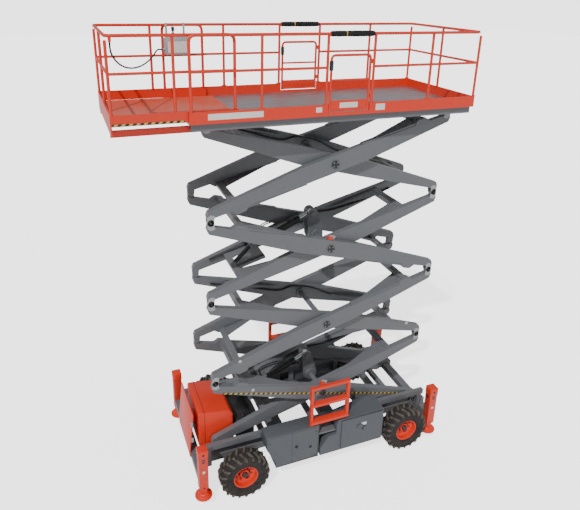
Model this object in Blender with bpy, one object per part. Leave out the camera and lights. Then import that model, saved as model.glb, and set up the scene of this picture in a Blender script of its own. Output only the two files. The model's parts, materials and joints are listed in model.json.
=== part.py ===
"""Rough-terrain scissor lift with its platform half raised and its extension deck rolled out.

Metres, +Z up. X runs along the machine, from the extension deck at -X to the plain end at +X, and the near side
is -Y. Sizes below are in the machine's own X, measured from midway between the axles; the whole machine is then
carried by one empty, which puts the middle of its outer box over the origin.
"""

import math

import bmesh
import bpy
from mathutils import Matrix

# ---- Driving dimensions ---------------------------------------------------------------------------------------
CLEARANCE = 0.0003  # gap between pieces that bear on each other

# wheels and axles
WHEEL_BASE = 3.07
OVERALL_WIDTH = 2.34
TYRE_RADIUS = 0.42
TYRE_WIDTH = 0.305
RIM_RADIUS = 0.21
HUB_BORE = 0.052
AXLE_DEPTH = 0.10
KINGPIN_Y = 0.88
KINGPIN_RADIUS = 0.020
RIM_SIDES = 24
HUB_PLAY = 0.0008

# scissor
ARM_SPAN = 4.08  # from the pin at one end of an arm to the pin at the other
REST_ANGLE = math.radians(19.92)
PIN_OFFSET = 0.16  # how far the end pins stand off an arm's own centre line
ARM_WIDTH = 0.10
ARM_MID_DEPTH = 0.27
ARM_END_V = 0.016  # how far an arm reaches past its own centre line at an end, on the side away from the pin
ARM_MID_HALF = 0.50  # half of the length over which an arm keeps its full depth
ARM_NOSE = 0.03
INNER_Y = 0.507
OUTER_Y = 0.624
PIN_RADIUS = 0.022
PIN_PLAY = 0.0009
EAR_RADIUS = 0.05
EAR_PLATE = 0.021
TONGUE = 0.046
ROLLER_RADIUS = 0.055
SHAFT_RADIUS = 0.045
ROLLER_GAP = 0.0005
INNER_TUBE_AT = 1.45
OUTER_TUBE_AT = 1.56
TUBE_SIDE = 0.10
OUTER_TUBE_HEIGHT = 0.073
OUTER_TUBE_OFFSET = 0.1535
GUSSET_REACH = 0.28
BASE_PIN_Z = 0.65
LEFT_PIN_X = -1.89

# lift cylinders, one in the first stage and one in the third
CYLINDER_FOOT = (-1.05, 0.21)  # on the inner frame, from its centre, along and across the arm
TOWER_HEIGHT = 0.38
TOWER_ANGLE = math.radians(115.0)  # of the rod's eye, from the outer frame's own line
TOWER_HALF_GAP = 0.075
FOOT_HALF_GAP = 0.064
FOOT_EAR = 0.062
BARREL_RADIUS = 0.058
BARREL_LENGTH = 0.88
ROD_RADIUS = 0.036
ROD_PLAY = 0.0008
ROD_LENGTH = 0.81

# chassis
RAIL_OUTER_Y = 0.67
RAIL_INNER_Y = 0.56
RAIL_BOTTOM = 0.475
RAIL_REAR = 2.22
UPPER_RAIL_FRONT = -2.14
UPPER_RAIL_REAR = 2.09
UPPER_RAIL_Y0 = 0.70
UPPER_RAIL_Y1 = 0.775
UPPER_RAIL_Z0 = 0.81
UPPER_RAIL_DEPTH = 0.10
CABINET_Y0 = 0.79
CABINET_Y1 = 1.075
CABINET_WALL = 0.02
DOOR_THICKNESS = 0.018
HINGE_INSET = 0.010

# outriggers
OUTRIGGER_FRONT_X = -2.22
OUTRIGGER_REAR_X = 2.10
OUTRIGGER_Y = 1.01
OUTRIGGER_TOP = 1.14
OUTRIGGER_FOOT_Z = 0.16
OUTRIGGER_SIDE = 0.15
LEG_SIDE = 0.10
FOOT_RADIUS = 0.145
LEG_PLAY = 0.0008

# platform
DECK_FRONT = -2.19
DECK_REAR = 2.21
DECK_WIDTH = 1.86
DECK_FLOOR = 0.02
SKIRT_HEIGHT = 0.16
SKIRT_THICKNESS = 0.03
RAIL_TOP = 1.10  # above the deck floor
MID_RAIL = 0.64
TUBE_RADIUS = 0.021
POST_RADIUS = 0.0198
MID_RADIUS = 0.0184
TUBE_SIDES = 8
GATE_X0 = -0.29
GATE_X1 = 0.42
GATE_TUBE = 0.018
GATE_INSET = 0.058  # from a gate post to the gate's own upright
EXTENSION_OUT = 0.96
EXTENSION_REST = 1.58  # rails of the extension, from its end plate to its rear posts
EXTENSION_WIDTH = 1.77
EXTENSION_FLOOR = 0.008

# bodywork
BRACKETS = (-2.06, -0.98, 0.0, 0.98, 2.02)
CABINET_BRACKETS = (-0.70, 0.62)
CROSS_BEAMS_LOW = (LEFT_PIN_X, -1.34, -0.98, 0.0, 0.98)
FORK_POCKETS = (-0.62, 0.43)
FRONT_CABINET_X0 = -1.15
FRONT_CABINET_X1 = -0.206
FRONT_CABINET_TOP = 1.03
REAR_CABINET_X1 = 1.045
REAR_CABINET_TOP = 1.015
NOTCH_X = 0.174
CABINET_BOTTOM = 0.355
STEP_TOP = 0.835
DOOR_X0 = 0.22
DOOR_Z0 = 0.40
DOOR_Z1 = 0.985

# control box and its cable
BOX_X = -1.98
BOX_HALF = 0.18
GLAND = 0.03
CORD_RADIUS = 0.011
CORD_POINTS = 44
CORD_CLIP = (-3.07, -0.845)

# ---- Worked out from them -------------------------------------------------------------------------------------
ARM_LEAN = math.asin(2 * PIN_OFFSET / ARM_SPAN)
HALF_ARM = ARM_SPAN / 2 * math.cos(ARM_LEAN)
BODY_ANGLE = REST_ANGLE - ARM_LEAN
REACH = ARM_SPAN * math.cos(REST_ANGLE)
RISE = ARM_SPAN * math.sin(REST_ANGLE)
RIGHT_PIN_X = LEFT_PIN_X + REACH
TOP_PIN_Z = BASE_PIN_Z + 4 * RISE
WHEEL_Y = OVERALL_WIDTH / 2 - TYRE_WIDTH / 2
RAIL_TOP_Z = BASE_PIN_Z - ROLLER_RADIUS - ROLLER_GAP
BEAM_TOP_Z = RAIL_TOP_Z - 0.045
TRACK_Z = TOP_PIN_Z + ROLLER_RADIUS + ROLLER_GAP
FRAME_TOP = TRACK_Z + 0.044
DECK_Z = FRAME_TOP + CLEARANCE
FLOOR_TOP = DECK_Z + DECK_FLOOR
SKIRT_TOP = DECK_Z + SKIRT_HEIGHT
RAIL_Y = DECK_WIDTH / 2 - SKIRT_THICKNESS / 2
EXTENSION_FRONT = DECK_FRONT - EXTENSION_OUT
EXTENSION_Y = EXTENSION_WIDTH / 2 - TUBE_RADIUS
CORD_END_Y = EXTENSION_Y - 0.12
CORD_END_Z = FLOOR_TOP + 0.74
CORD_START_Z = FLOOR_TOP + RAIL_TOP - 0.095
CORD_END_X = BOX_X - BOX_HALF - GLAND - CLEARANCE
CORD_ROUTE = [  # the heights are below the clip
    (*CORD_CLIP, CORD_START_Z),
    (*CORD_CLIP, CORD_START_Z - 0.035),
    (*CORD_CLIP, CORD_START_Z - 0.07),
    (-3.055, -0.81, CORD_START_Z - 0.14),
    (-3.00, -0.70, CORD_START_Z - 0.235),
    (-2.91, -0.52, CORD_START_Z - 0.32),
    (-2.80, -0.31, CORD_START_Z - 0.375),
    (-2.68, -0.08, CORD_START_Z - 0.40),
    (-2.56, 0.15, CORD_START_Z - 0.395),
    (-2.45, 0.36, CORD_START_Z - 0.365),
    (-2.36, 0.54, CORD_START_Z - 0.32),
    (-2.30, 0.68, CORD_START_Z - 0.285),
    (CORD_END_X - 0.07, CORD_END_Y, CORD_END_Z),
    (CORD_END_X - 0.035, CORD_END_Y, CORD_END_Z),
    (CORD_END_X, CORD_END_Y, CORD_END_Z),
]
MACHINE_REAR = max(DECK_REAR, OUTRIGGER_REAR_X + FOOT_RADIUS)
SHIFT = -(EXTENSION_FRONT + MACHINE_REAR) / 2

for leftover in list(bpy.data.objects):
    bpy.data.objects.remove(leftover)

machine = bpy.data.objects.new("machine_origin", None)
bpy.context.scene.collection.objects.link(machine)
machine.location = (SHIFT, 0, 0)


# ---- Finishes -------------------------------------------------------------------------------------------------
def finish(name, colour, roughness, metallic=0.0):
    """A painted, rubber or bare-metal finish; the colour is linear."""
    made = bpy.data.materials.new(name)
    made.use_nodes = True
    shader = made.node_tree.nodes["Principled BSDF"]
    shader.inputs["Base Color"].default_value = (*colour, 1.0)
    shader.inputs["Roughness"].default_value = roughness
    shader.inputs["Metallic"].default_value = metallic
    return made


ORANGE = finish("orange_paint", (0.87, 0.09, 0.025), 0.4)
GREY = finish("grey_paint", (0.18, 0.19, 0.20), 0.45)
BLACK = finish("black_paint", (0.02, 0.02, 0.022), 0.5)
RUBBER = finish("tyre_rubber", (0.025, 0.025, 0.025), 0.85)
DECKING = finish("deck_aluminium", (0.5, 0.52, 0.54), 0.4, 0.6)
CHROME = finish("chromed_rod", (0.7, 0.7, 0.7), 0.15, 1.0)
CABLE = finish("cable_jacket", (0.015, 0.015, 0.015), 0.6)


# ---- Shapes, each a mesh ---------------------------------------------------------------------------------------
def fan(start, span, steps):
    """Angles from a start over a span, in equal steps, with both ends."""
    return [start + span * i / steps for i in range(steps + 1)]


def as_mesh(shape):
    bmesh.ops.recalc_face_normals(shape, faces=shape.faces)
    mesh = bpy.data.meshes.new("shape")
    shape.to_mesh(mesh)
    shape.free()
    return mesh


def prism(outline, y0, y1):
    """An (x, z) outline, extruded from y0 to y1."""
    shape = bmesh.new()
    face = shape.faces.new([shape.verts.new((x, y0, z)) for x, z in outline])
    moved = bmesh.ops.extrude_face_region(shape, geom=[face])["geom"]
    bmesh.ops.translate(shape, verts=[v for v in moved if isinstance(v, bmesh.types.BMVert)], vec=(0, y1 - y0, 0))
    return as_mesh(shape)


def plan(outline, z0, z1):
    """An (x, y) outline, extruded from z0 to z1."""
    shape = bmesh.new()
    face = shape.faces.new([shape.verts.new((x, y, z0)) for x, y in outline])
    moved = bmesh.ops.extrude_face_region(shape, geom=[face])["geom"]
    bmesh.ops.translate(shape, verts=[v for v in moved if isinstance(v, bmesh.types.BMVert)], vec=(0, 0, z1 - z0))
    return as_mesh(shape)


def block(x0, x1, y0, y1, z0, z1):
    return prism([(x0, z0), (x1, z0), (x1, z1), (x0, z1)], y0, y1)


def disc(x, z, y0, y1, radius, sides=12):
    """A round bar along Y."""
    ring = [
        (x + radius * math.cos(2 * math.pi * i / sides), z + radius * math.sin(2 * math.pi * i / sides))
        for i in range(sides)
    ]
    return prism(ring, y0, y1)


def tube(start, end, radius, sides=TUBE_SIDES):
    """A round bar from one point to another, turned half a facet so that flats face the axes."""
    shape = bmesh.new()
    step = [b - a for a, b in zip(start, end)]
    length = math.sqrt(sum(s * s for s in step))
    bmesh.ops.create_cone(
        shape, cap_ends=True, segments=sides, radius1=radius, radius2=radius, depth=length,
        matrix=Matrix.Translation((0, 0, length / 2)) @ Matrix.Rotation(math.pi / sides, 4, "Z"),
    )
    up = Matrix((step, (0, 0, 1), (0, 1, 0))).to_3x3()[0].to_track_quat("Z", "Y").to_matrix().to_4x4()
    bmesh.ops.transform(shape, matrix=Matrix.Translation(start) @ up, verts=shape.verts)
    return as_mesh(shape)


def turned(profile, centre, sides=24):
    """A (radius, y) profile turned round the Y axis through a centre; the profile closes on itself or on the axis."""
    shape = bmesh.new()
    rings = []
    for radius, y in profile:
        if radius < 1e-6:
            rings.append([shape.verts.new((centre[0], centre[1] + y, centre[2]))])
            continue
        rings.append([
            shape.verts.new((
                centre[0] + radius * math.cos(2 * math.pi * i / sides),
                centre[1] + y,
                centre[2] + radius * math.sin(2 * math.pi * i / sides),
            ))
            for i in range(sides)
        ])
    closed = len(rings[0]) > 1
    pairs = list(zip(rings, rings[1:])) + ([(rings[-1], rings[0])] if closed else [])
    for low, high in pairs:
        for i in range(sides):
            j = (i + 1) % sides
            if len(low) == 1:
                shape.faces.new((low[0], high[i], high[j]))
            elif len(high) == 1:
                shape.faces.new((low[i], low[j], high[0]))
            else:
                shape.faces.new((low[i], low[j], high[j], high[i]))
    return as_mesh(shape)


def loop(points, radius, sides=TUBE_SIDES):
    """Straight tubes from point to point, each run on by its radius so that the corners close."""
    shapes = []
    last = len(points) - 2
    for i, (start, end) in enumerate(zip(points, points[1:])):
        span = math.dist(start, end)
        size = radius * (1.0 - 0.03 * (i % 2))  # uneven, so that no two facets of a corner coincide
        step = [(q - p) / span * size * 0.85 for p, q in zip(start, end)]
        first = start if i == 0 else [p - d for p, d in zip(start, step)]
        second = end if i == last else [q + d for q, d in zip(end, step)]
        shapes.append(tube(first, second, size, sides))
    return shapes


def node(name, material, shapes, cuts=(), at=(0, 0, 0), turn=0.0):
    """One sub-part: its first shape with the others united to it and the cuts taken away, smooth where it is round.
    Shapes are given about the place `at`, in a frame turned by `turn` from X towards Z."""
    shapes[0].materials.append(material)
    body = bpy.data.objects.new(name, shapes[0])
    bpy.context.scene.collection.objects.link(body)
    body.parent = machine
    body.location = at
    body.rotation_euler = (0, -turn, 0)
    for role, tools, operation in (("joined", shapes[1:], "UNION"), ("cut", list(cuts), "DIFFERENCE")):
        if not tools:
            continue
        group = bpy.data.collections.new(f"{name}_{role}")
        bpy.context.scene.collection.children.link(group)
        for number, mesh in enumerate(tools):
            tool = bpy.data.objects.new(f"{name}_{role}_{number}", mesh)
            group.objects.link(tool)
            tool.parent = body
            tool.hide_render = True
            tool.display_type = "WIRE"
        boolean = body.modifiers.new(role, "BOOLEAN")
        boolean.operation = operation
        boolean.operand_type = "COLLECTION"
        boolean.collection = group
        boolean.solver = "EXACT"
    return body


# ---- Scissor --------------------------------------------------------------------------------------------------
def arm_outline(way):
    """An arm's side view about its middle, along and across its own line. Its low end is at -way. It is deep over
    its middle, then tapers towards its pins, which lie below it at the low end and above it at the top end."""
    mid, pin_side = ARM_MID_DEPTH / 2, PIN_OFFSET - EAR_RADIUS - 0.006
    low_half = [
        (-HALF_ARM + 0.015, ARM_END_V), (-HALF_ARM - ARM_NOSE, -ARM_END_V - 0.03), (-HALF_ARM - ARM_NOSE, -pin_side),
        (-ARM_MID_HALF, -mid), (ARM_MID_HALF, -mid),
    ]
    return [(way * u, v) for u, v in low_half] + [(-way * u, -v) for u, v in low_half]


def end_pin(way, low):
    """An end pin's place: below the arm at its low end, above it at its top end."""
    sign = 1 if low else -1
    return -way * HALF_ARM * sign, -PIN_OFFSET * sign


def ear_outline(way, low, radius=EAR_RADIUS):
    """The outline of an ear round an end pin, reaching into the arm."""
    sign = 1 if low else -1
    u0, v0 = end_pin(way, low)
    arc = fan(math.pi, math.pi, 4)
    points = [(radius * math.cos(a), radius * math.sin(a)) for a in arc]
    points += [(0.09, 0.10), (-ARM_NOSE + 0.004, 0.10)]
    return [(u0 + way * sign * u, v0 + sign * v) for u, v in points]


def plates(outline, y, half_gap, thickness):
    """Two plates either side of a plane y."""
    return [
        prism(outline, y + half_gap, y + half_gap + thickness),
        prism(outline, y - half_gap - thickness, y - half_gap),
    ]


def arm_end(way, low, y, style):
    """The shapes and cuts of one arm's end: a fork with its pin, a tongue with its bore, or a roller."""
    u, v = end_pin(way, low)
    if style == "tongue":
        ear = prism(ear_outline(way, low), y - TONGUE / 2, y + TONGUE / 2)
        return [ear], [disc(u, v, y - ARM_WIDTH, y + ARM_WIDTH, PIN_RADIUS + PIN_PLAY)]
    gap = ARM_WIDTH / 2 - EAR_PLATE - 0.001
    shapes = plates(ear_outline(way, low), y, gap, EAR_PLATE)
    head = ARM_WIDTH / 2 + 0.008 if y > 0 else -ARM_WIDTH / 2 - 0.008
    foot = -math.copysign(ARM_WIDTH / 2 - 0.004, y)
    shapes.append(disc(u, v, *sorted((y + foot, y + head)), PIN_RADIUS))
    if style == "roller":
        shapes.append(disc(u, v, y - gap - 0.004, y + gap + 0.004, ROLLER_RADIUS, 16))
    return shapes, []


def gusset(u_tube, y_edge, v0, v1, side):
    """A three-cornered plate between an arm and its cross tube, tapering towards the middle of the arm."""
    toe = math.copysign(ARM_MID_HALF - 0.05, u_tube)
    return plan([(toe, y_edge), (u_tube, y_edge), (u_tube, y_edge - side * GUSSET_REACH)], v0, v1)


def frame_at(stage, pivot, way):
    """Where a frame of a stage turns: its low pin, its centre or its top pin. Stages count from 0."""
    low_z = BASE_PIN_Z + stage * RISE
    if pivot == "centre":
        return LEFT_PIN_X + REACH / 2, low_z + RISE / 2
    at_left = (pivot == "low") == (way > 0)
    return (LEFT_PIN_X if at_left else RIGHT_PIN_X), low_z + (RISE if pivot == "top" else 0)


def scissor_frame(name, stage, way, plane, pivot, low_style="fork", top_style="tongue", cylinder=None,
                  low_tube=INNER_TUBE_AT):
    """One welded frame: two arms and their cross members. way is +1 where it rises to +X, and -1 the other way."""
    shapes, cuts = [], []
    for side in (-1, 1):
        y = side * plane
        shapes.append(prism(arm_outline(way), y - ARM_WIDTH / 2, y + ARM_WIDTH / 2))
        for low, style in ((True, low_style), (False, top_style)):
            ear_shapes, ear_cuts = arm_end(way, low, y, style)
            shapes += ear_shapes
            cuts += ear_cuts
    inner = plane == INNER_Y
    for low in (True, False):
        sign = -1 if low else 1
        if inner:
            u, v = sign * way * (low_tube if low else INNER_TUBE_AT), (-0.02 if low else 0.045)
            half_height = TUBE_SIDE / 2
            reach = INNER_Y - ARM_WIDTH / 2 + 0.01
        else:
            u, v, half_height = sign * way * OUTER_TUBE_AT, sign * OUTER_TUBE_OFFSET, OUTER_TUBE_HEIGHT / 2
            reach = OUTER_Y + ARM_WIDTH / 2 - 0.01
        shapes.append(block(u - TUBE_SIDE / 2, u + TUBE_SIDE / 2, -reach, reach, v - half_height, v + half_height))
        for side in (-1, 1):
            if inner:
                top = v + half_height
                shapes.append(gusset(u, side * reach, top - 0.02, top - 0.005, side))
            else:
                y = side * OUTER_Y
                seat = [(u - 0.16, 0), (u + 0.16, 0), (u + 0.16, sign * 0.09), (u + 0.07, v + sign * 0.03),
                        (u - 0.07, v + sign * 0.03), (u - 0.16, sign * 0.09)]
                shapes.append(prism(seat, y - ARM_WIDTH / 2 + 0.002, y + ARM_WIDTH / 2 - 0.002))
                toe = math.copysign(ARM_MID_HALF, u)
                spine = [(toe, sign * 0.11), (u, sign * 0.09), (u, sign * 0.153), (toe, sign * 0.153)]
                shapes.append(prism(spine, y - 0.04, y + 0.04))
                edge = side * (OUTER_Y + 0.03)
                low_v, high_v = sorted((sign * 0.141, sign * 0.1525))
                shapes.append(plan([(toe, edge), (u, edge), (u, edge - side * (GUSSET_REACH + 0.05))],
                                   low_v, high_v))
    if inner:
        for side in (-1, 1):
            y0, y1 = sorted((side * (INNER_Y - ARM_WIDTH / 2 - 0.03), side * INNER_Y))
            shapes.append(disc(0, 0, y0, y1, 0.085))
        cuts.append(disc(0, 0, -1, 1, SHAFT_RADIUS + 0.002))
    else:
        half = OUTER_Y + ARM_WIDTH / 2
        shapes.append(disc(0, 0, -half - 0.012, half + 0.012, SHAFT_RADIUS))
        for side in (-1, 1):
            y0, y1 = sorted((side * (half - 0.005), side * (half + 0.009)))
            shapes.append(disc(0, 0, y0, y1, 0.07))
    if cylinder == "foot":
        u, v = way * CYLINDER_FOOT[0], CYLINDER_FOOT[1]
        heel = min(-low_tube - 0.04, CYLINDER_FOOT[0] - 0.09)
        outline = [(way * heel, 0.0), (way * (CYLINDER_FOOT[0] + 0.12), -0.02)]
        outline += [(u + way * FOOT_EAR * math.cos(a), v + FOOT_EAR * math.sin(a)) for a in fan(0, math.pi, 5)]
        shapes += plates(outline, 0, FOOT_HALF_GAP, 0.02)
        shapes.append(disc(u, v, -FOOT_HALF_GAP - 0.024, FOOT_HALF_GAP + 0.024, PIN_RADIUS))
        base = -low_tube - 0.04, CYLINDER_FOOT[0] + 0.12
        shapes.append(block(*sorted((way * base[0], way * base[1])), -0.12, 0.12, -0.03, 0.02))
    if cylinder == "tower":
        u, v = tower_top(way)
        across = math.atan2(v, u)
        outline = [(u + 0.09 * math.cos(a), v + 0.09 * math.sin(a)) for a in fan(across - math.pi / 2, math.pi, 6)]
        outline += [(0.13 * math.cos(a), 0.13 * math.sin(a)) for a in fan(across + math.pi / 2, math.pi, 6)]
        shapes += plates(outline, 0, TOWER_HALF_GAP, 0.025)
        for side in (-1, 1):
            y0, y1 = sorted((side * (TOWER_HALF_GAP + 0.02), side * (TOWER_HALF_GAP + 0.05)))
            shapes.append(disc(u, v, y0, y1, 0.05))
            y0, y1 = sorted((side * (TOWER_HALF_GAP + 0.01), side * (TOWER_HALF_GAP + 0.085)))
            shapes.append(disc(0, 0, y0, y1, 0.10))
    x, z = frame_at(stage, pivot, way)
    if pivot == "centre":
        du, dv = 0.0, 0.0
    else:
        du, dv = end_pin(way, pivot == "low")
    for mesh in shapes + cuts:
        mesh.transform(Matrix.Translation((-du, 0, -dv)))
    return node(name, GREY, shapes, cuts, at=(x, 0, z), turn=way * BODY_ANGLE)


def tower_top(way):
    """The rod eye's place on an outer frame, from the frame's centre, along and across its line."""
    return -way * TOWER_HEIGHT * math.cos(TOWER_ANGLE), TOWER_HEIGHT * math.sin(TOWER_ANGLE)


def turned_point(point, angle):
    u, v = point
    return u * math.cos(angle) - v * math.sin(angle), u * math.sin(angle) + v * math.cos(angle)


def lift_cylinder(stage, number):
    """The barrel on the inner frame's foot, and the rod that reaches the outer frame's tower."""
    centre = frame_at(stage, "centre", 1)
    foot = turned_point(CYLINDER_FOOT, BODY_ANGLE)
    eye = turned_point(tower_top(-1), -BODY_ANGLE)
    length, angle = math.dist(foot, eye), math.atan2(eye[1] - foot[1], eye[0] - foot[0])
    barrel = [
        disc(0, 0, -0.045, 0.045, FOOT_EAR),
        tube((0.03, 0, 0), (BARREL_LENGTH, 0, 0), BARREL_RADIUS, 12),
        tube((BARREL_LENGTH - 0.07, 0, 0), (BARREL_LENGTH + 0.005, 0, 0), BARREL_RADIUS + 0.004, 12),
        block(0.10, 0.20, -0.02, 0.02, 0.03, 0.085),
    ]
    bores = [
        tube((0.13, 0, 0), (BARREL_LENGTH + 0.1, 0, 0), ROD_RADIUS + ROD_PLAY, 12),
        disc(0, 0, -0.1, 0.1, PIN_RADIUS + PIN_PLAY),
    ]
    node(f"lift_barrel_{number}", BLACK, barrel, bores, at=(centre[0] + foot[0], 0, centre[1] + foot[1]), turn=angle)
    rod = [
        disc(0, 0, -0.04, 0.04, 0.055),
        disc(0, 0, -TOWER_HALF_GAP + 0.006, TOWER_HALF_GAP - 0.006, 0.028),
        tube((-ROD_LENGTH, 0, 0), (-0.03, 0, 0), ROD_RADIUS, 12),
    ]
    place = (centre[0] + foot[0] + length * math.cos(angle), 0, centre[1] + foot[1] + length * math.sin(angle))
    node(f"lift_rod_{number}", CHROME, rod, at=place, turn=angle)


scissor_frame("inner_frame_1", 0, 1, INNER_Y, "low", cylinder="foot", low_tube=1.05)
scissor_frame("outer_frame_1", 0, -1, OUTER_Y, "centre", low_style="roller", cylinder="tower")
scissor_frame("outer_frame_2", 1, 1, OUTER_Y, "low")
scissor_frame("inner_frame_2", 1, -1, INNER_Y, "centre")
scissor_frame("inner_frame_3", 2, 1, INNER_Y, "centre", cylinder="foot")
scissor_frame("outer_frame_3", 2, -1, OUTER_Y, "low", cylinder="tower")
scissor_frame("outer_frame_4", 3, 1, OUTER_Y, "low", top_style="roller")
scissor_frame("inner_frame_4", 3, -1, INNER_Y, "centre")
for number, stage in ((1, 0), (2, 2)):
    lift_cylinder(stage, number)


# ---- Chassis --------------------------------------------------------------------------------------------------
def chassis():
    """Two main rails with the scissor's lugs, cross beams, the upper side rails and their brackets, the step treads
    and the fork pockets."""
    shapes, cuts = [], []
    for side in (-1, 1):
        y0, y1 = sorted((side * RAIL_INNER_Y, side * RAIL_OUTER_Y))
        shapes.append(block(OUTRIGGER_FRONT_X, RAIL_REAR, y0, y1, RAIL_BOTTOM, RAIL_TOP_Z))
        y0, y1 = sorted((side * UPPER_RAIL_Y0, side * UPPER_RAIL_Y1))
        shapes.append(block(UPPER_RAIL_FRONT, UPPER_RAIL_REAR, y0, y1, UPPER_RAIL_Z0, UPPER_RAIL_Z0 + UPPER_RAIL_DEPTH))
        for x in BRACKETS:
            y0, y1 = sorted((side * (RAIL_OUTER_Y - 0.03), side * (UPPER_RAIL_Y1 - 0.01)))
            shapes.append(block(x - 0.05, x + 0.05, y0, y1, RAIL_BOTTOM + 0.01, RAIL_TOP_Z - 0.01))
            y0, y1 = sorted((side * (UPPER_RAIL_Y0 + 0.005), side * (UPPER_RAIL_Y1 - 0.012)))
            shapes.append(block(x - 0.045, x + 0.045, y0, y1, RAIL_BOTTOM + 0.02, UPPER_RAIL_Z0 + 0.05))
        for x in CABINET_BRACKETS:
            y0, y1 = sorted((side * (UPPER_RAIL_Y0 + 0.02), side * (CABINET_Y0 - CLEARANCE)))
            shapes.append(block(x - 0.06, x + 0.06, y0, y1, UPPER_RAIL_Z0 + 0.01, UPPER_RAIL_Z0 + UPPER_RAIL_DEPTH - 0.01))
        # the tread between the two cabinets
        y0, y1 = sorted((side * (UPPER_RAIL_Y1 - 0.02), side * (CABINET_Y1 - 0.02)))
        shapes.append(block(FRONT_CABINET_X1 + 0.004, NOTCH_X - 0.06, y0, y1, STEP_TOP - 0.03, STEP_TOP))
        # the lug that carries the first inner frame's fork
        y = side * INNER_Y
        lug = [(LEFT_PIN_X + EAR_RADIUS * math.cos(a), BASE_PIN_Z + EAR_RADIUS * math.sin(a)) for a in fan(0, math.pi, 4)]
        lug += [(LEFT_PIN_X - 0.09, BEAM_TOP_Z - 0.02), (LEFT_PIN_X + 0.09, BEAM_TOP_Z - 0.02)]
        shapes.append(prism(lug, y - TONGUE / 2, y + TONGUE / 2))
        cuts.append(disc(LEFT_PIN_X, BASE_PIN_Z, y - 0.2, y + 0.2, PIN_RADIUS + PIN_PLAY))
    reach = OUTRIGGER_Y - OUTRIGGER_SIDE / 2 - CLEARANCE
    for x in (OUTRIGGER_FRONT_X, OUTRIGGER_REAR_X):
        shapes.append(block(x - 0.07, x + 0.07, -reach, reach, 0.44, 0.56))
    for x in CROSS_BEAMS_LOW:
        shapes.append(block(x - 0.05, x + 0.05, -0.60, 0.60, RAIL_BOTTOM + 0.005, BEAM_TOP_Z))
    for x in FORK_POCKETS:
        shapes.append(block(x - 0.13, x + 0.13, -0.93, 0.93, 0.20, 0.33))
        cuts.append(block(x - 0.115, x + 0.115, -1.2, 1.2, 0.215, 0.315))
        for y in (-0.615, 0.615):
            shapes.append(block(x - 0.10, x + 0.10, y - 0.045, y + 0.045, 0.32, 0.50))
    node("chassis_frame", GREY, shapes, cuts)


chassis()


def axle(name, x, steered):
    """A beam with a round housing at its middle; the plain axle carries its own stubs, the steered one its yokes."""
    z0, z1 = TYRE_RADIUS - AXLE_DEPTH / 2, TYRE_RADIUS + AXLE_DEPTH / 2
    end = KINGPIN_Y - 0.068 if steered else WHEEL_Y - 0.135
    shapes = [block(x - 0.055, x + 0.055, -end, end, z0, z1)]
    shapes.append(turned([(0.0, -0.13), (0.09, -0.11), (0.135, -0.05), (0.135, 0.05), (0.09, 0.11), (0.0, 0.13)],
                         (x, 0.0, TYRE_RADIUS), 16))
    cuts = []
    for side in (-1, 1):
        y = side * (RAIL_INNER_Y + RAIL_OUTER_Y) / 2
        shapes.append(block(x - 0.09, x + 0.09, y - 0.05, y + 0.05, z0 + 0.01, RAIL_BOTTOM - CLEARANCE))
        if steered:
            for low in (z0 - 0.045, z1 + 0.005):
                shapes.append(block(x - 0.05, x + 0.05, *sorted((side * (end - 0.03), side * (KINGPIN_Y + 0.032))),
                                    low, low + 0.04))
            shapes.append(block(x - 0.05, x + 0.05, *sorted((side * (end - 0.03), side * end)), z0 - 0.04, z1 + 0.04))
            pin = tube((x, side * KINGPIN_Y, 0.2), (x, side * KINGPIN_Y, 0.7), KINGPIN_RADIUS + PIN_PLAY, 12)
            cuts.append(pin)
        else:
            y0, y1 = sorted((side * (end - 0.01), side * (end + 0.02)))
            shapes.append(disc(x, TYRE_RADIUS, y0, y1, 0.10, 16))
            y0, y1 = sorted((side * end, side * (WHEEL_Y - 0.02)))
            shapes.append(disc(x, TYRE_RADIUS, y0, y1, HUB_BORE - HUB_PLAY, RIM_SIDES))
    node(name, GREY, shapes, cuts)


axle("front_axle", -WHEEL_BASE / 2, True)
axle("rear_axle", WHEEL_BASE / 2, False)


def knuckle(name, side):
    """The steered hub carrier on its upright kingpin, with the stub that the wheel turns on."""
    shapes = [
        block(-0.04, 0.04, -0.04, 0.04, -AXLE_DEPTH / 2, AXLE_DEPTH / 2),
        tube((0, 0, -AXLE_DEPTH / 2 - 0.05), (0, 0, AXLE_DEPTH / 2 + 0.05), KINGPIN_RADIUS, 12),
        disc(0, 0, *sorted((side * 0.03, side * (WHEEL_Y - 0.02 - KINGPIN_Y))), HUB_BORE - HUB_PLAY, RIM_SIDES),
        disc(0, 0, *sorted((side * 0.062, side * 0.085)), 0.075, 16),
        block(-0.17, -0.03, *sorted((side * -0.035, side * -0.005)), -0.02, 0.01),
    ]
    node(name, GREY, shapes, at=(-WHEEL_BASE / 2, side * KINGPIN_Y, TYRE_RADIUS))


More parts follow.
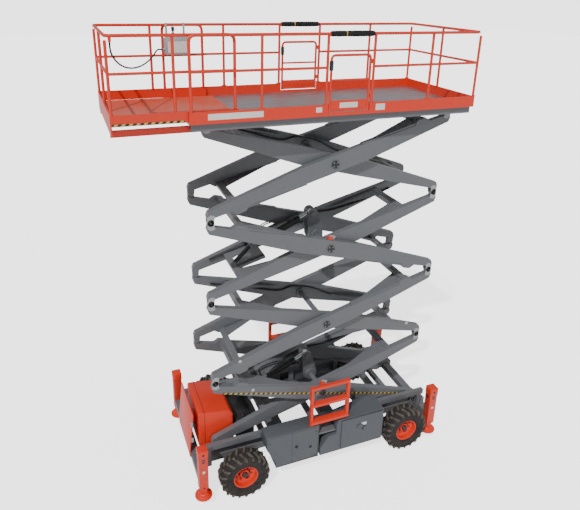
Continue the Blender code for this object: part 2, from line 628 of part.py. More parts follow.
def wheel(place, x, side):
    """A tyre and the dished rim that carries it, both turned about the axle line."""
    r, w = TYRE_RADIUS, TYRE_WIDTH / 2
    tyre = [(RIM_RADIUS + CLEARANCE, w - 0.03), (RIM_RADIUS + 0.02, w - 0.008), (0.32, w), (r - 0.045, w - 0.012),
            (r, w - 0.05)]
    profile = tyre + [(radius, -y) for radius, y in reversed(tyre)]
    node(f"tyre_{place}", RUBBER, [turned(profile, (0, 0, 0), RIM_SIDES)], at=(x, side * WHEEL_Y, TYRE_RADIUS))
    inside = RIM_RADIUS - 0.03
    dish = [
        (HUB_BORE, -0.045), (0.11, -0.045), (inside, -0.02), (inside, -w + 0.03), (RIM_RADIUS, -w + 0.03),
        (RIM_RADIUS, w - 0.03), (inside + 0.005, w - 0.03), (inside, 0.01), (0.10, -0.01), (0.075, 0.045),
        (0.0, 0.045), (0.0, 0.0), (HUB_BORE, 0.0),
    ]
    rim = [(radius, side * y) for radius, y in dish]
    node(f"rim_{place}", ORANGE, [turned_open(rim, RIM_SIDES)], at=(x, side * WHEEL_Y, TYRE_RADIUS))


def turned_open(profile, sides):
    """A turned solid whose profile runs along the axis for one stretch: the two axis points close it."""
    shape = bmesh.new()
    rings = []
    for radius, y in profile:
        if radius < 1e-6:
            rings.append([shape.verts.new((0, y, 0))])
        else:
            rings.append([
                shape.verts.new((radius * math.cos(2 * math.pi * i / sides), y, radius * math.sin(2 * math.pi * i / sides)))
                for i in range(sides)
            ])
    for low, high in zip(rings, rings[1:] + rings[:1]):
        for i in range(sides):
            j = (i + 1) % sides
            if len(low) == 1 and len(high) == 1:
                continue
            if len(low) == 1:
                shape.faces.new((low[0], high[i], high[j]))
            elif len(high) == 1:
                shape.faces.new((low[i], low[j], high[0]))
            else:
                shape.faces.new((low[i], low[j], high[j], high[i]))
    return as_mesh(shape)


for side, word in ((-1, "near"), (1, "far")):
    knuckle(f"{word}_knuckle", side)
    wheel(f"front_{word}", -WHEEL_BASE / 2, side)
    wheel(f"rear_{word}", WHEEL_BASE / 2, side)


def outrigger(place, x, side):
    """A square housing with its cap, and the leg that slides down out of it, on a round foot."""
    y, half, leg = side * OUTRIGGER_Y, OUTRIGGER_SIDE / 2, LEG_SIDE / 2
    bottom = OUTRIGGER_FOOT_Z + 0.20
    housing = [
        block(-half, half, -half, half, bottom - OUTRIGGER_TOP, -0.02),
        block(-half - 0.005, half + 0.005, -half - 0.005, half + 0.005, -0.135, 0.0),
    ]
    bore = [block(-leg - LEG_PLAY, leg + LEG_PLAY, -leg - LEG_PLAY, leg + LEG_PLAY, -1.2, -0.06)]
    node(f"outrigger_{place}", ORANGE, housing, bore, at=(x, y, OUTRIGGER_TOP))
    foot = [(0.0, 0.0), (FOOT_RADIUS * 0.82, 0.0), (FOOT_RADIUS, 0.018), (FOOT_RADIUS, 0.035), (0.085, 0.06), (0.0, 0.06)]
    plate = turned_up(foot, 16)
    top = OUTRIGGER_TOP - 0.12 - OUTRIGGER_FOOT_Z
    shapes = [plate, block(-leg, leg, -leg, leg, 0.03, top)]
    node(f"outrigger_leg_{place}", ORANGE, shapes, at=(x, y, OUTRIGGER_FOOT_Z))


def turned_up(profile, sides):
    """A (radius, z) profile turned round the Z axis, closed on the axis at both ends."""
    mesh = turned_open([(radius, z) for radius, z in profile], sides)
    mesh.transform(Matrix.Rotation(math.pi / 2, 4, "X"))
    return mesh


for side, word in ((-1, "near"), (1, "far")):
    outrigger(f"front_{word}", OUTRIGGER_FRONT_X, side)
    outrigger(f"rear_{word}", OUTRIGGER_REAR_X, side)


# ---- Bodywork on the chassis ----------------------------------------------------------------------------------
def wedge(base, ridge, z0, z1):
    """A hipped cover: a rectangle (x0, x1, y0, y1) at z0, rising to a smaller one at z1."""
    shape = bmesh.new()
    rings = [
        [shape.verts.new((x, y, z)) for x, y in ((x0, y0), (x1, y0), (x1, y1), (x0, y1))]
        for (x0, x1, y0, y1), z in ((base, z0), (ridge, z1))
    ]
    shape.faces.new(rings[0])
    shape.faces.new(rings[1])
    for i in range(4):
        j = (i + 1) % 4
        shape.faces.new((rings[0][i], rings[0][j], rings[1][j], rings[1][i]))
    return as_mesh(shape)


def front_cabinet(name, side):
    """The closed steel cabinet behind a front wheel; its lower corner is cut away for the steered tyre."""
    outline = [
        (TYRE_CUT_X, CABINET_BOTTOM), (FRONT_CABINET_X1, CABINET_BOTTOM), (FRONT_CABINET_X1, FRONT_CABINET_TOP),
        (FRONT_CABINET_X0, FRONT_CABINET_TOP), (FRONT_CABINET_X0, 0.79), (TYRE_CUT_X, 0.45),
    ]
    latch = disc(-0.36, 0.62, *sorted((side * (CABINET_Y1 - 0.01), side * (CABINET_Y1 + 0.012))), 0.022)
    node(name, GREY, [prism(outline, *sorted((side * CABINET_Y0, side * CABINET_Y1))), latch])


TYRE_CUT_X = -0.985


def rear_cabinet(name, side):
    """The steel cabinet ahead of a rear wheel: a stepped lower corner, a hipped cover on top, and a bay behind the
    door."""
    outline = [
        (-0.17, CABINET_BOTTOM), (REAR_CABINET_X1, CABINET_BOTTOM), (REAR_CABINET_X1, REAR_CABINET_TOP),
        (NOTCH_X, REAR_CABINET_TOP), (NOTCH_X - 0.045, 0.95), (NOTCH_X - 0.045, 0.74), (-0.02, 0.72), (-0.17, 0.52),
    ]
    y0, y1 = sorted((side * CABINET_Y0, side * CABINET_Y1))
    ridge = sorted((side * (CABINET_Y0 + 0.02), side * (CABINET_Y0 + 0.075)))
    cover = wedge((NOTCH_X, REAR_CABINET_X1, y0, y1), (0.72, 0.98, *ridge), REAR_CABINET_TOP - 0.002, 1.145)
    bay0, bay1 = sorted((side * (CABINET_Y0 + CABINET_WALL), side * (CABINET_Y1 + 0.1)))
    bay = block(DOOR_X0 + 0.02, REAR_CABINET_X1 - CABINET_WALL, bay0, bay1, DOOR_Z0 + 0.01, DOOR_Z1 - 0.02)
    node(name, GREY, [prism(outline, y0, y1), cover], [bay])


def cabinet_door(name, side):
    """The door of a rear cabinet, hinged on an upright line at its +X edge."""
    width = REAR_CABINET_X1 - HINGE_INSET - DOOR_X0
    half = DOOR_THICKNESS / 2
    height = DOOR_Z1 - DOOR_Z0
    face = side * half
    shapes = [
        block(-width, 0, -half, half, 0, height),
        block(-width + 0.30, -width + 0.40, *sorted((face - side * 0.002, face + side * 0.022)), 0.36, 0.43),
        tube((0, 0, 0.02), (0, 0, height - 0.02), half + 0.001, 12),
    ]
    hinge = (REAR_CABINET_X1 - HINGE_INSET, side * (CABINET_Y1 + CLEARANCE + half + 0.0011), DOOR_Z0)
    node(name, GREY, shapes, at=hinge)


def ladder(name, side):
    """The orange climbing frame that stands on the two cabinets, over the step between them."""
    y0, y1 = sorted((side * 1.00, side * 1.06))
    shapes = []
    posts = ((LADDER_X0, FRONT_CABINET_TOP), (LADDER_X1 - LADDER_BAR, REAR_CABINET_TOP + 0.06))
    for x, foot in posts:
        shapes.append(block(x, x + LADDER_BAR, y0, y1, foot + CLEARANCE, LADDER_TOP))
    for top, depth in ((LADDER_TOP - 0.001, 0.0), (1.475, 0.02), (1.12, 0.03)):
        out0, out1 = sorted((side * (1.001 - depth), side * (1.059 + depth)))
        shapes.append(block(LADDER_X0 + 0.01, LADDER_X1 - 0.01, out0, out1, top - LADDER_BAR, top))
    node(name, ORANGE, shapes)


LADDER_X0 = -0.372
LADDER_X1 = 0.343
LADDER_TOP = 1.805
LADDER_BAR = 0.05


def hood():
    """The orange nose cover between the inner arms, and the leaning plate ahead of it."""
    foot_z = BEAM_TOP_Z + CLEARANCE
    side_view = [(-2.14, 0.62), (HOOD_REAR, 0.62), (HOOD_REAR, 1.15), (-1.60, 1.235), (-2.04, 1.305), (-2.12, 1.315),
                 (-2.14, 1.29)]
    shapes = [prism(side_view, -HOOD_HALF, HOOD_HALF)]
    for side in (-1, 1):
        y0, y1 = sorted((side * 0.24, side * 0.34))
        shapes.append(block(LEFT_PIN_X - 0.04, LEFT_PIN_X + 0.04, y0, y1, foot_z, 0.63))
    node("nose_hood", ORANGE, shapes)
    beam_face = OUTRIGGER_FRONT_X - 0.07 - CLEARANCE
    plate = [(beam_face - 0.02, 0.47), (beam_face, 0.47), (beam_face, 0.60), (-2.215, 1.325), (-2.235, 1.325),
             (beam_face - 0.02, 0.62)]
    node("nose_plate", ORANGE, [prism(plate, -HOOD_HALF - 0.02, HOOD_HALF + 0.02)])


HOOD_HALF = 0.43
HOOD_REAR = -1.54
hood()
tank_z = BEAM_TOP_Z + CLEARANCE
node("tank", BLACK, [block(-1.47, -1.15, -0.40, 0.40, tank_z, 0.90), disc(-1.31, 0.88, -0.30, -0.20, 0.05)])
bay_floor = DOOR_Z0 + 0.01 + CLEARANCE
node("engine_block", BLACK, [block(0.32, 0.92, CABINET_Y0 + CABINET_WALL + 0.01, CABINET_Y1 - 0.03, bay_floor, 0.86)])
for side, word in ((-1, "near"), (1, "far")):
    front_cabinet(f"cabinet_front_{word}", side)
    rear_cabinet(f"cabinet_rear_{word}", side)
    cabinet_door(f"cabinet_door_{word}", side)
    ladder(f"ladder_{word}", side)


# ---- Platform -------------------------------------------------------------------------------------------------
def underframe():
    """The grey frame under the floor: side beams, cross beams, the tracks of the top rollers and the pivot lugs."""
    shapes, cuts = [], []
    track0, track1 = OUTER_Y - ARM_WIDTH / 2 - 0.01, OUTER_Y + ARM_WIDTH / 2 + 0.01
    for side in (-1, 1):
        shapes.append(block(DECK_FRONT + 0.03, DECK_REAR - 0.03, *sorted((side * 0.80, side * 0.885)),
                            FRAME_TOP - 0.10, FRAME_TOP))
        shapes.append(block(LEFT_PIN_X + 0.4, DECK_REAR - 0.05, *sorted((side * track0, side * track1)),
                            TRACK_Z, FRAME_TOP))
        y = side * INNER_Y
        gap = ARM_WIDTH / 2 - EAR_PLATE - 0.001
        arc = fan(math.pi, math.pi, 4)
        lug = [(LEFT_PIN_X + EAR_RADIUS * math.cos(a), TOP_PIN_Z + EAR_RADIUS * math.sin(a)) for a in arc]
        lug += [(LEFT_PIN_X + 0.09, TRACK_Z + 0.02), (LEFT_PIN_X - 0.09, TRACK_Z + 0.02)]
        shapes += plates(lug, y, gap, EAR_PLATE)
        shapes.append(disc(LEFT_PIN_X, TOP_PIN_Z, y - 0.056, y + 0.056, PIN_RADIUS))
    for x in CROSS_BEAMS:
        shapes.append(block(x - 0.05, x + 0.05, -0.84, 0.84, TRACK_Z + 0.004, FRAME_TOP - 0.001))
    node("deck_underframe", GREY, shapes, cuts)


CROSS_BEAMS = (DECK_FRONT + 0.08, LEFT_PIN_X, -1.10, -0.62, 0.55, 1.10, 1.62, DECK_REAR - 0.08)
underframe()


def deck():
    half = DECK_WIDTH / 2
    inside = half - SKIRT_THICKNESS - CLEARANCE
    node("deck_floor", DECKING, [block(DECK_FRONT + 0.06, DECK_REAR - SKIRT_THICKNESS - CLEARANCE, -inside, inside,
                                       DECK_Z, FLOOR_TOP)])
    shapes = [block(DECK_REAR - SKIRT_THICKNESS, DECK_REAR, -half, half, DECK_Z, SKIRT_TOP)]
    for side in (-1, 1):
        y0, y1 = sorted((side * (half - SKIRT_THICKNESS), side * half))
        shapes.append(block(DECK_FRONT, DECK_REAR - 0.01, y0, y1, DECK_Z, SKIRT_TOP))
    cuts = []
    for side in (-1, 1):
        y0, y1 = sorted((side * (half - 0.06), side * (half + 0.05)))
        cuts.append(block(GATE_X0 + 0.03, GATE_X1 - 0.03, y0, y1, DECK_Z + 0.05, SKIRT_TOP + 0.1))
    node("deck_skirt", ORANGE, shapes, cuts)


deck()


def guardrail():
    """Posts and rails round the main deck, in one welded piece, open at the front and with a gap at each gate."""
    top, mid, low = FLOOR_TOP + RAIL_TOP - TUBE_RADIUS, FLOOR_TOP + MID_RAIL, SKIRT_TOP + CLEARANCE
    front, rear = DECK_FRONT + 0.03, DECK_REAR - 0.025
    shapes = []
    y = RAIL_Y
    shapes += loop([(front, -y, low), (front, -y, top), (rear, -y, top), (rear, y, top), (front, y, top),
                    (front, y, low)], TUBE_RADIUS)
    for side in (-1, 1):
        for x in (-1.22, GATE_X0, GATE_X1, 1.36, rear):
            shapes.append(tube((x, side * y, low), (x, side * y, top), POST_RADIUS))
        for x0, x1 in ((front, GATE_X0), (GATE_X1, rear)):
            shapes.append(tube((x0, side * y, mid), (x1, side * y, mid), MID_RADIUS))
        # the hinge blocks that hold the gate's upright
        for z in (SKIRT_TOP + 0.06, FLOOR_TOP + 0.68):
            shapes.append(block(GATE_X1 - GATE_INSET + GATE_TUBE + 0.0002, GATE_X1, side * y - 0.012, side * y + 0.012,
                                z, z + 0.06))
    shapes.append(tube((rear, -y, mid), (rear, y, mid), MID_RADIUS - 0.0006))
    shapes.append(tube((rear, 0, low), (rear, 0, top), POST_RADIUS - 0.0003))
    node("guardrail", ORANGE, shapes)


guardrail()


def gate(name, side):
    """The half-height gate, which swings inwards on the post at its +X end."""
    far = -(GATE_X1 - GATE_X0 - 2 * GATE_INSET)
    z0, z1 = DECK_Z + 0.06, FLOOR_TOP + 0.80
    shapes = loop([(0, 0, z1), (far, 0, z1), (far, 0, z0)], GATE_TUBE)
    shapes.append(tube((0, 0, (z0 + z1) / 2 + 0.05), (far, 0, (z0 + z1) / 2 + 0.05), 0.016))
    shapes.append(block(far - 0.005, 0.005, -0.006, 0.006, z0, z0 + 0.15))
    shapes.append(tube((-0.01, 0, z0 + 0.016), (far + 0.01, 0, z0 + 0.016), 0.016))
    shapes.append(tube((0, 0, z0), (0, 0, z1), GATE_TUBE, 12))
    for mesh in shapes:
        mesh.transform(Matrix.Translation((0, 0, -z0)))
    node(name, ORANGE, shapes, at=(GATE_X1 - GATE_INSET, side * RAIL_Y, z0))


for side, word in ((-1, "near"), (1, "far")):
    gate(f"gate_{word}", side)


# ---- Extension deck -------------------------------------------------------------------------------------------
def extension():
    front = EXTENSION_FRONT
    half = EXTENSION_WIDTH / 2
    floor_z = FLOOR_TOP + CLEARANCE
    node("extension_floor", ORANGE, [block(front + 0.02, front + EXTENSION_REST + 0.12, -half + 0.03, half - 0.03, floor_z,
                                           floor_z + EXTENSION_FLOOR)])
    low = floor_z + EXTENSION_FLOOR + CLEARANCE
    top = low + SKIRT_HEIGHT - 0.02
    shapes = [block(front, front + 0.019, -half, half, DECK_Z - 0.09, top)]
    for side in (-1, 1):
        shapes.append(block(front, front + EXTENSION_REST + 0.04, *sorted((side * (half - 0.025), side * half)), low, top))
        shapes.append(block(front, front + 1.95, *sorted((side * 0.715, side * 0.775)), TOP_PIN_Z - 0.03,
                            TRACK_Z - 0.004))
    node("extension_frame", ORANGE, shapes)
    rail_low, rail_top, mid = top + CLEARANCE, FLOOR_TOP + RAIL_TOP - TUBE_RADIUS, FLOOR_TOP + MID_RAIL
    y, x0, x1 = EXTENSION_Y, front + 0.022, front + EXTENSION_REST
    rails = loop([(x1, -y, rail_low), (x1, -y, rail_top), (x0, -y, rail_top), (x0, y, rail_top), (x1, y, rail_top),
                  (x1, y, rail_low)], TUBE_RADIUS)
    for side in (-1, 1):
        rails.append(tube((x0, side * y, mid), (x1, side * y, mid), MID_RADIUS))
        for x in (x0, (x0 + x1) / 2):
            rails.append(tube((x, side * y, rail_low), (x, side * y, rail_top), POST_RADIUS))
    rails.append(tube((x0, -y, mid), (x0, y, mid), MID_RADIUS - 0.0006))
    rails.append(tube((x0, 0, rail_low), (x0, 0, rail_top), POST_RADIUS - 0.0003))
    # the clip that holds the cable's end
    rails.append(block(CORD_CLIP[0] - 0.018, CORD_CLIP[0] + 0.018, -y - 0.005, CORD_CLIP[1] + 0.018,
                       CORD_START_Z + CLEARANCE, rail_top))
    node("extension_guardrail", ORANGE, rails)


extension()


def control_box():
    """The control box that hangs from the extension's far top rail by two hooks, with its stick and cable gland."""
    x, z = BOX_X, FLOOR_TOP + 0.80
    inner_face = EXTENSION_Y - TUBE_RADIUS - CLEARANCE
    rail_top = FLOOR_TOP + RAIL_TOP + CLEARANCE
    shapes = [
        block(x - BOX_HALF, x + BOX_HALF, inner_face - 0.20, inner_face - 0.010, z - 0.13, z + 0.10),
        prism([(x - 0.17, z + 0.09), (x + 0.17, z + 0.09), (x + 0.15, z + 0.13), (x - 0.15, z + 0.13)],
              inner_face - 0.18, inner_face - 0.03),
        tube((x - 0.05, inner_face - 0.10, z + 0.12), (x - 0.05, inner_face - 0.10, z + 0.21), 0.016),
        tube((x - BOX_HALF - GLAND, CORD_END_Y, CORD_END_Z), (x - BOX_HALF + 0.01, CORD_END_Y, CORD_END_Z), 0.018, 10),
    ]
    for hook_x in (x - 0.13, x + 0.13):
        shapes.append(block(hook_x - 0.015, hook_x + 0.015, inner_face - 0.012, inner_face, z, rail_top + 0.008))
        shapes.append(block(hook_x - 0.015, hook_x + 0.015, inner_face - 0.012, EXTENSION_Y, rail_top, rail_top + 0.008))
    node("control_box", GREY, shapes)


def smooth_points(route, count):
    """Points along the Catmull-Rom curve through a route, evenly spaced in its parameter."""
    padded = [route[0], *route, route[-1]]
    made = []
    for i in range(count + 1):
        t = i / count * (len(route) - 1)
        k = min(int(t), len(route) - 2)
        f = t - k
        a, b, c, d = padded[k:k + 4]
        made.append([
            0.5 * (2 * q + (r - p) * f + (2 * p - 5 * q + 4 * r - s) * f ** 2 + (3 * q - p - 3 * r + s) * f ** 3)
            for p, q, r, s in zip(a, b, c, d)
        ])
    return made


def cord():
    """The control cable: down from its clip at the near corner, across the extension in one sag, and up to the box."""
    line = bpy.data.curves.new("cord", "CURVE")
    line.dimensions = "3D"
    line.bevel_depth = CORD_RADIUS
    line.bevel_resolution = 2
    line.use_fill_caps = True
    points = smooth_points(CORD_ROUTE, CORD_POINTS)
    spline = line.splines.new("POLY")
    spline.points.add(len(points) - 1)
    for point, place in zip(spline.points, points):
        point.co = (*place, 1.0)
    line.materials.append(CABLE)
    cable = bpy.data.objects.new("cord", line)
    bpy.context.scene.collection.objects.link(cable)
    cable.parent = machine


control_box()
cord()
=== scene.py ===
# %% [markdown]
# # A rough-terrain scissor lift, dressed for the studio
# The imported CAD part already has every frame, rail, wheel and door at its true place. This lesson adds what makes
# such a machine look real: enamel paint with dust in it, tyre lugs, bolts, hoses, warning tape, tread plate and the
# small controls. Each step first says what the thing is on the real machine, and then why it is made that way.

# %% Load the frame and keep its box
import json
import math

import bmesh
import bpy
from mathutils import Matrix, Vector

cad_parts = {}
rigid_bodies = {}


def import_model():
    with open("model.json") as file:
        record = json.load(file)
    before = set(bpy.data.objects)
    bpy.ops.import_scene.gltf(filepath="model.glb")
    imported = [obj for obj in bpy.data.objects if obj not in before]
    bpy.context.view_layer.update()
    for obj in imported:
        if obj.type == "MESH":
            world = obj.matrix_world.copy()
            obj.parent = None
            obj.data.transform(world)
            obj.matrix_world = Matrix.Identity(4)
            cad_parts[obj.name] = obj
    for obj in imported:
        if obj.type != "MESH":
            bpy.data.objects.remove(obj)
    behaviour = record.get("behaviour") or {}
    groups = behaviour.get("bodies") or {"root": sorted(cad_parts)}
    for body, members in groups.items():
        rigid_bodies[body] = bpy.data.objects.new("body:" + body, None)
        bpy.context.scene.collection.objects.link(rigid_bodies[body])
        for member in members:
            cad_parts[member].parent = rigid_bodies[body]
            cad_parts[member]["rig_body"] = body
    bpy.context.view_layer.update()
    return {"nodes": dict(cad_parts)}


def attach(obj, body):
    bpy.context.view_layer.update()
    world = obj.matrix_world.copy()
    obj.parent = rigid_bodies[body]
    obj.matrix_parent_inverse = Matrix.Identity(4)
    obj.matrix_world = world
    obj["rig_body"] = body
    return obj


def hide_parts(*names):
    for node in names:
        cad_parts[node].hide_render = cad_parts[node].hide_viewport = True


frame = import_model()
nodes = frame["nodes"]

# %% [markdown]
# ## Camera
# The machine is seen from its near front corner, a little above the platform. The camera stands where a fit of the
# arm pins and the wheels puts it, and a small shift frames the machine.

# %% Camera
MACHINE_SHIFT = 0.4525  # from the machine's own X, which starts midway between the axles, to the model's X


def at(x, y, z):
    """A place given in the machine's own X."""
    return Vector((x + MACHINE_SHIFT, y, z))


def look(yaw, pitch, roll):
    forward = Vector((math.sin(yaw) * math.cos(pitch), math.cos(yaw) * math.cos(pitch), math.sin(pitch)))
    level = Vector((math.cos(yaw), -math.sin(yaw), 0))
    upright = level.cross(forward)
    across = level * math.cos(roll) + upright * math.sin(roll)
    up = -level * math.sin(roll) + upright * math.cos(roll)
    return Matrix((across, up, -forward)).transposed().to_4x4()


camera = bpy.data.objects.new("camera", bpy.data.cameras.new("camera"))
bpy.context.scene.collection.objects.link(camera)
bpy.context.scene.camera = camera
camera.matrix_world = Matrix.Translation(at(-3.6673, -7.9266, 8.0073)) @ look(0.3833, -0.3652, 0.0227)
camera.data.sensor_width = 36
camera.data.lens = 35.25
camera.data.shift_x, camera.data.shift_y = 0.006, -0.0926

# %% [markdown]
# ## Finishes
# Colours are written as the hex values that a paint chart gives, and one function turns them to linear light.
# One small function adds a node to a material's tree, with its settings and its links.

# %% Colour and node helpers
def linear(colour):
    """An sRGB hex value as linear red, green, blue and alpha."""
    parts = [int(colour[i:i + 2], 16) / 255 for i in (1, 3, 5)]
    return [c / 12.92 if c <= 0.04045 else ((c + 0.055) / 1.055) ** 2.4 for c in parts] + [1.0]


def add_node(tree, kind, settings=None, links=None, **values):
    """Adds a node: settings are its properties, values its own sockets, links the sockets that feed it."""
    made = tree.nodes.new(kind)
    for name, value in (settings or {}).items():
        setattr(made, name, value)
    for name, value in values.items():
        made.inputs[int(name[1:]) if name[1:].isdigit() else name.replace("_", " ")].default_value = value
    for socket, source in (links or {}).items():
        tree.links.new(source, made.inputs[socket])
    return made


def ramp(tree, source, stops):
    made = add_node(tree, "ShaderNodeValToRGB", links={"Fac": source})
    band = made.color_ramp
    while len(band.elements) < len(stops):
        band.elements.new(0.5)
    for element, (place, colour) in zip(band.elements, stops):
        element.position, element.color = place, colour
    return made.outputs["Color"]


# %% [markdown]
# ### Enamel over steel
# Sprayed two-pack enamel has a faint orange-peel skin, dust that settles in cloudy patches, and fine rubbed
# spots. The cloud is 0.6 m wide, the peel 4 mm, drawn coarser than life so that it shows at all.

# %% Enamel paint
def new_material(name):
    """A material with its tree, its shader and the object coordinates that every pattern here reads."""
    made = bpy.data.materials.new(name)
    made.use_nodes = True
    tree = made.node_tree
    return made, tree, tree.nodes["Principled BSDF"], add_node(tree, "ShaderNodeTexCoord").outputs["Object"]


def add_bump(tree, shader, height, strength, distance):
    bump = add_node(tree, "ShaderNodeBump", links={"Height": height}, Strength=strength, Distance=distance)
    tree.links.new(bump.outputs["Normal"], shader.inputs["Normal"])


def vary_roughness(tree, shader, source, low, high):
    rough = add_node(tree, "ShaderNodeMapRange", links={"Value": source}, To_Min=low, To_Max=high)
    tree.links.new(rough.outputs["Result"], shader.inputs["Roughness"])


def enamel(name, colour, dusty, roughness=0.38, dust="#8a8178", amount=0.3, peel=0.05):
    """Sprayed paint in its colour, dulled towards a dusty tone in patches."""
    made, tree, shader, place = new_material(name)
    cloud = add_node(tree, "ShaderNodeTexNoise", links={"Vector": place}, Scale=1.7, Detail=6.0, Roughness=0.65)
    patch = ramp(tree, cloud.outputs["Fac"], [(0.35, (0, 0, 0, 1)), (0.75, (amount, amount, amount, 1))])
    fine = add_node(tree, "ShaderNodeTexNoise", links={"Vector": place}, Scale=38.0, Detail=5.0, Roughness=0.7)
    streak = ramp(tree, fine.outputs["Fac"], [(0.30, linear(dusty)), (0.62, linear(colour))])
    mix = add_node(tree, "ShaderNodeMix", {"data_type": "RGBA"}, {0: patch, 6: streak}, i7=linear(dust))
    tree.links.new(mix.outputs[2], shader.inputs["Base Color"])
    vary_roughness(tree, shader, cloud.outputs["Fac"], roughness - 0.08, roughness + 0.22)
    skin = add_node(tree, "ShaderNodeTexNoise", links={"Vector": place}, Scale=240.0, Detail=2.0)
    add_bump(tree, shader, skin.outputs["Fac"], peel, 0.002)
    shader.inputs["Coat Weight"].default_value = 0.25
    shader.inputs["Coat Roughness"].default_value = 0.2
    return made


ORANGE = enamel("orange_enamel", "#e82f06", "#da2b05", 0.38, dust="#b0502f", amount=0.15)
ORANGE_DECK = enamel("worn_orange_enamel", "#dc4120", "#c65238", 0.5, dust="#b08a7c", amount=0.45, peel=0.15)
GREY = enamel("grey_arm_enamel", "#66696e", "#5e6166", 0.42, dust="#7a7672", amount=0.28)
PALE = enamel("light_grey_enamel", "#a9acb0", "#999ca0", 0.45)
CABINET = enamel("graphite_enamel", "#4f545b", "#484d54", 0.42, dust="#64615d")
BLACK = enamel("black_enamel", "#1b1c1e", "#232427", 0.45, dust="#5b5650", amount=0.2)
WHITE = enamel("white_label_vinyl", "#e9e8e4", "#dedcd6", 0.5, amount=0.1, peel=0.0)
YELLOW = enamel("yellow_tape", "#e0b320", "#cfa21b", 0.5, amount=0.2, peel=0.0)
RED = enamel("red_moulding", "#b5231a", "#a81f17", 0.35, peel=0.0)

# %% [markdown]
# ### Rubber, tread plate and bare metal
# Tyre rubber on a working machine is grey with dried mud on its lugs and black where the side wall flexes clean.
# Tread plate is rolled aluminium with raised bars; its bars are real geometry further down, and the material only
# carries the mill's fine lines. A lift cylinder's rod is hard chrome, polished round the bar.

# %% Rubber and metals
def rubber(name, clean, muddy, scale=9.0, roughness=0.85):
    made, tree, shader, place = new_material(name)
    mud = add_node(tree, "ShaderNodeTexNoise", links={"Vector": place}, Scale=scale, Detail=8.0, Roughness=0.7)
    colour = ramp(tree, mud.outputs["Fac"], [(0.4, linear(clean)), (0.68, linear(muddy))])
    tree.links.new(colour, shader.inputs["Base Color"])
    grain = add_node(tree, "ShaderNodeTexNoise", links={"Vector": place}, Scale=420.0)
    add_bump(tree, shader, grain.outputs["Fac"], 0.3, 0.001)
    shader.inputs["Roughness"].default_value = roughness
    return made


def bare_metal(name, colour, roughness, scale, stretch=(1, 1, 1), strength=0.1):
    made, tree, shader, place = new_material(name)
    turned = add_node(tree, "ShaderNodeMapping", links={"Vector": place}, Scale=stretch)
    lines = add_node(tree, "ShaderNodeTexNoise", links={"Vector": turned.outputs["Vector"]}, Scale=scale, Detail=5.0)
    dark = [c * 0.72 for c in linear(colour)[:3]] + [1]
    tone = ramp(tree, lines.outputs["Fac"], [(0.25, dark), (0.7, linear(colour))])
    tree.links.new(tone, shader.inputs["Base Color"])
    vary_roughness(tree, shader, lines.outputs["Fac"], roughness, roughness + 0.2)
    add_bump(tree, shader, lines.outputs["Fac"], strength, 0.001)
    shader.inputs["Metallic"].default_value = 1.0
    return made


TYRE = rubber("tyre_rubber", "#1d1c1c", "#3a332f")
LUG_RUBBER = rubber("muddy_tread_rubber", "#3c3835", "#6f665d", 14.0, 0.95)
HOSE = rubber("hose_rubber", "#121213", "#26262a", 20.0, 0.55)
FOAM = rubber("foam_sleeve", "#131314", "#202022", 30.0, 0.9)
TREAD_PLATE = bare_metal("rolled_aluminium", "#c3c6ca", 0.36, 3.0, (1, 6, 1), 0.05)
STEEL = bare_metal("zinc_plated_steel", "#b9bcc0", 0.3, 60.0)
CHROME = bare_metal("hard_chrome", "#dfe2e5", 0.08, 90.0, (4, 1, 1), 0.02)
DARK_STEEL = bare_metal("oiled_steel", "#4a4c50", 0.4, 80.0)
print("finishes", len(bpy.data.materials))

# %% Each CAD node gets its finish
ORANGE_NODES = ("rim_", "outrigger", "ladder", "nose_", "deck_skirt", "guardrail", "gate")
FINISHES = {
    "tyre_": TYRE, **dict.fromkeys(ORANGE_NODES, ORANGE), "extension_floor": ORANGE_DECK, "extension": ORANGE,
    "deck_floor": TREAD_PLATE, "lift_rod": CHROME, "lift_barrel": BLACK, "tank": BLACK, "engine": BLACK,
    "cabinet": CABINET, "control_box": PALE, "cord": HOSE,
}
for name, body in nodes.items():
    finish = next((FINISHES[key] for key in FINISHES if name.startswith(key)), GREY)
    body.data.materials.clear()
    body.data.materials.append(finish)

# %% [markdown]
# ## The control cable
# A corrugated cable runs from a clip on the near top rail, sags across the extension and enters the control box.
# It is a free cord held at both ends, so it is a curve of its real length on the route that the CAD solid takes.

# %% Control cable
FLOOR_TOP = 6.3302
CABLE_RADIUS = 0.011
CLIP = (-3.07, -0.845, FLOOR_TOP + 1.005)
BOX_GLAND = (-2.1903, 0.744, FLOOR_TOP + 0.74)
CABLE_SAG = [  # machine X, Y and the drop below the clip
    (-3.07, -0.845, 0.035), (-3.07, -0.845, 0.07), (-3.055, -0.81, 0.14), (-3.00, -0.70, 0.235),
    (-2.91, -0.52, 0.32), (-2.80, -0.31, 0.375), (-2.68, -0.08, 0.40), (-2.56, 0.15, 0.395), (-2.45, 0.36, 0.365),
    (-2.36, 0.54, 0.32), (-2.30, 0.68, 0.285),
]


def through(route, count):
    """Points along the smooth curve through a route."""
    padded = [route[0], *route, route[-1]]
    made = []
    for i in range(count + 1):
        t = i / count * (len(route) - 1)
        k = min(int(t), len(route) - 2)
        f = t - k
        a, b, c, d = [Vector(p) for p in padded[k:k + 4]]
        made.append(0.5 * (2 * b + (c - a) * f + (2 * a - 5 * b + 4 * c - d) * f ** 2
                           + (3 * b - a - 3 * c + d) * f ** 3))
    return made


def line_length(points):
    return sum((b - a).length for a, b in zip(points, points[1:]))


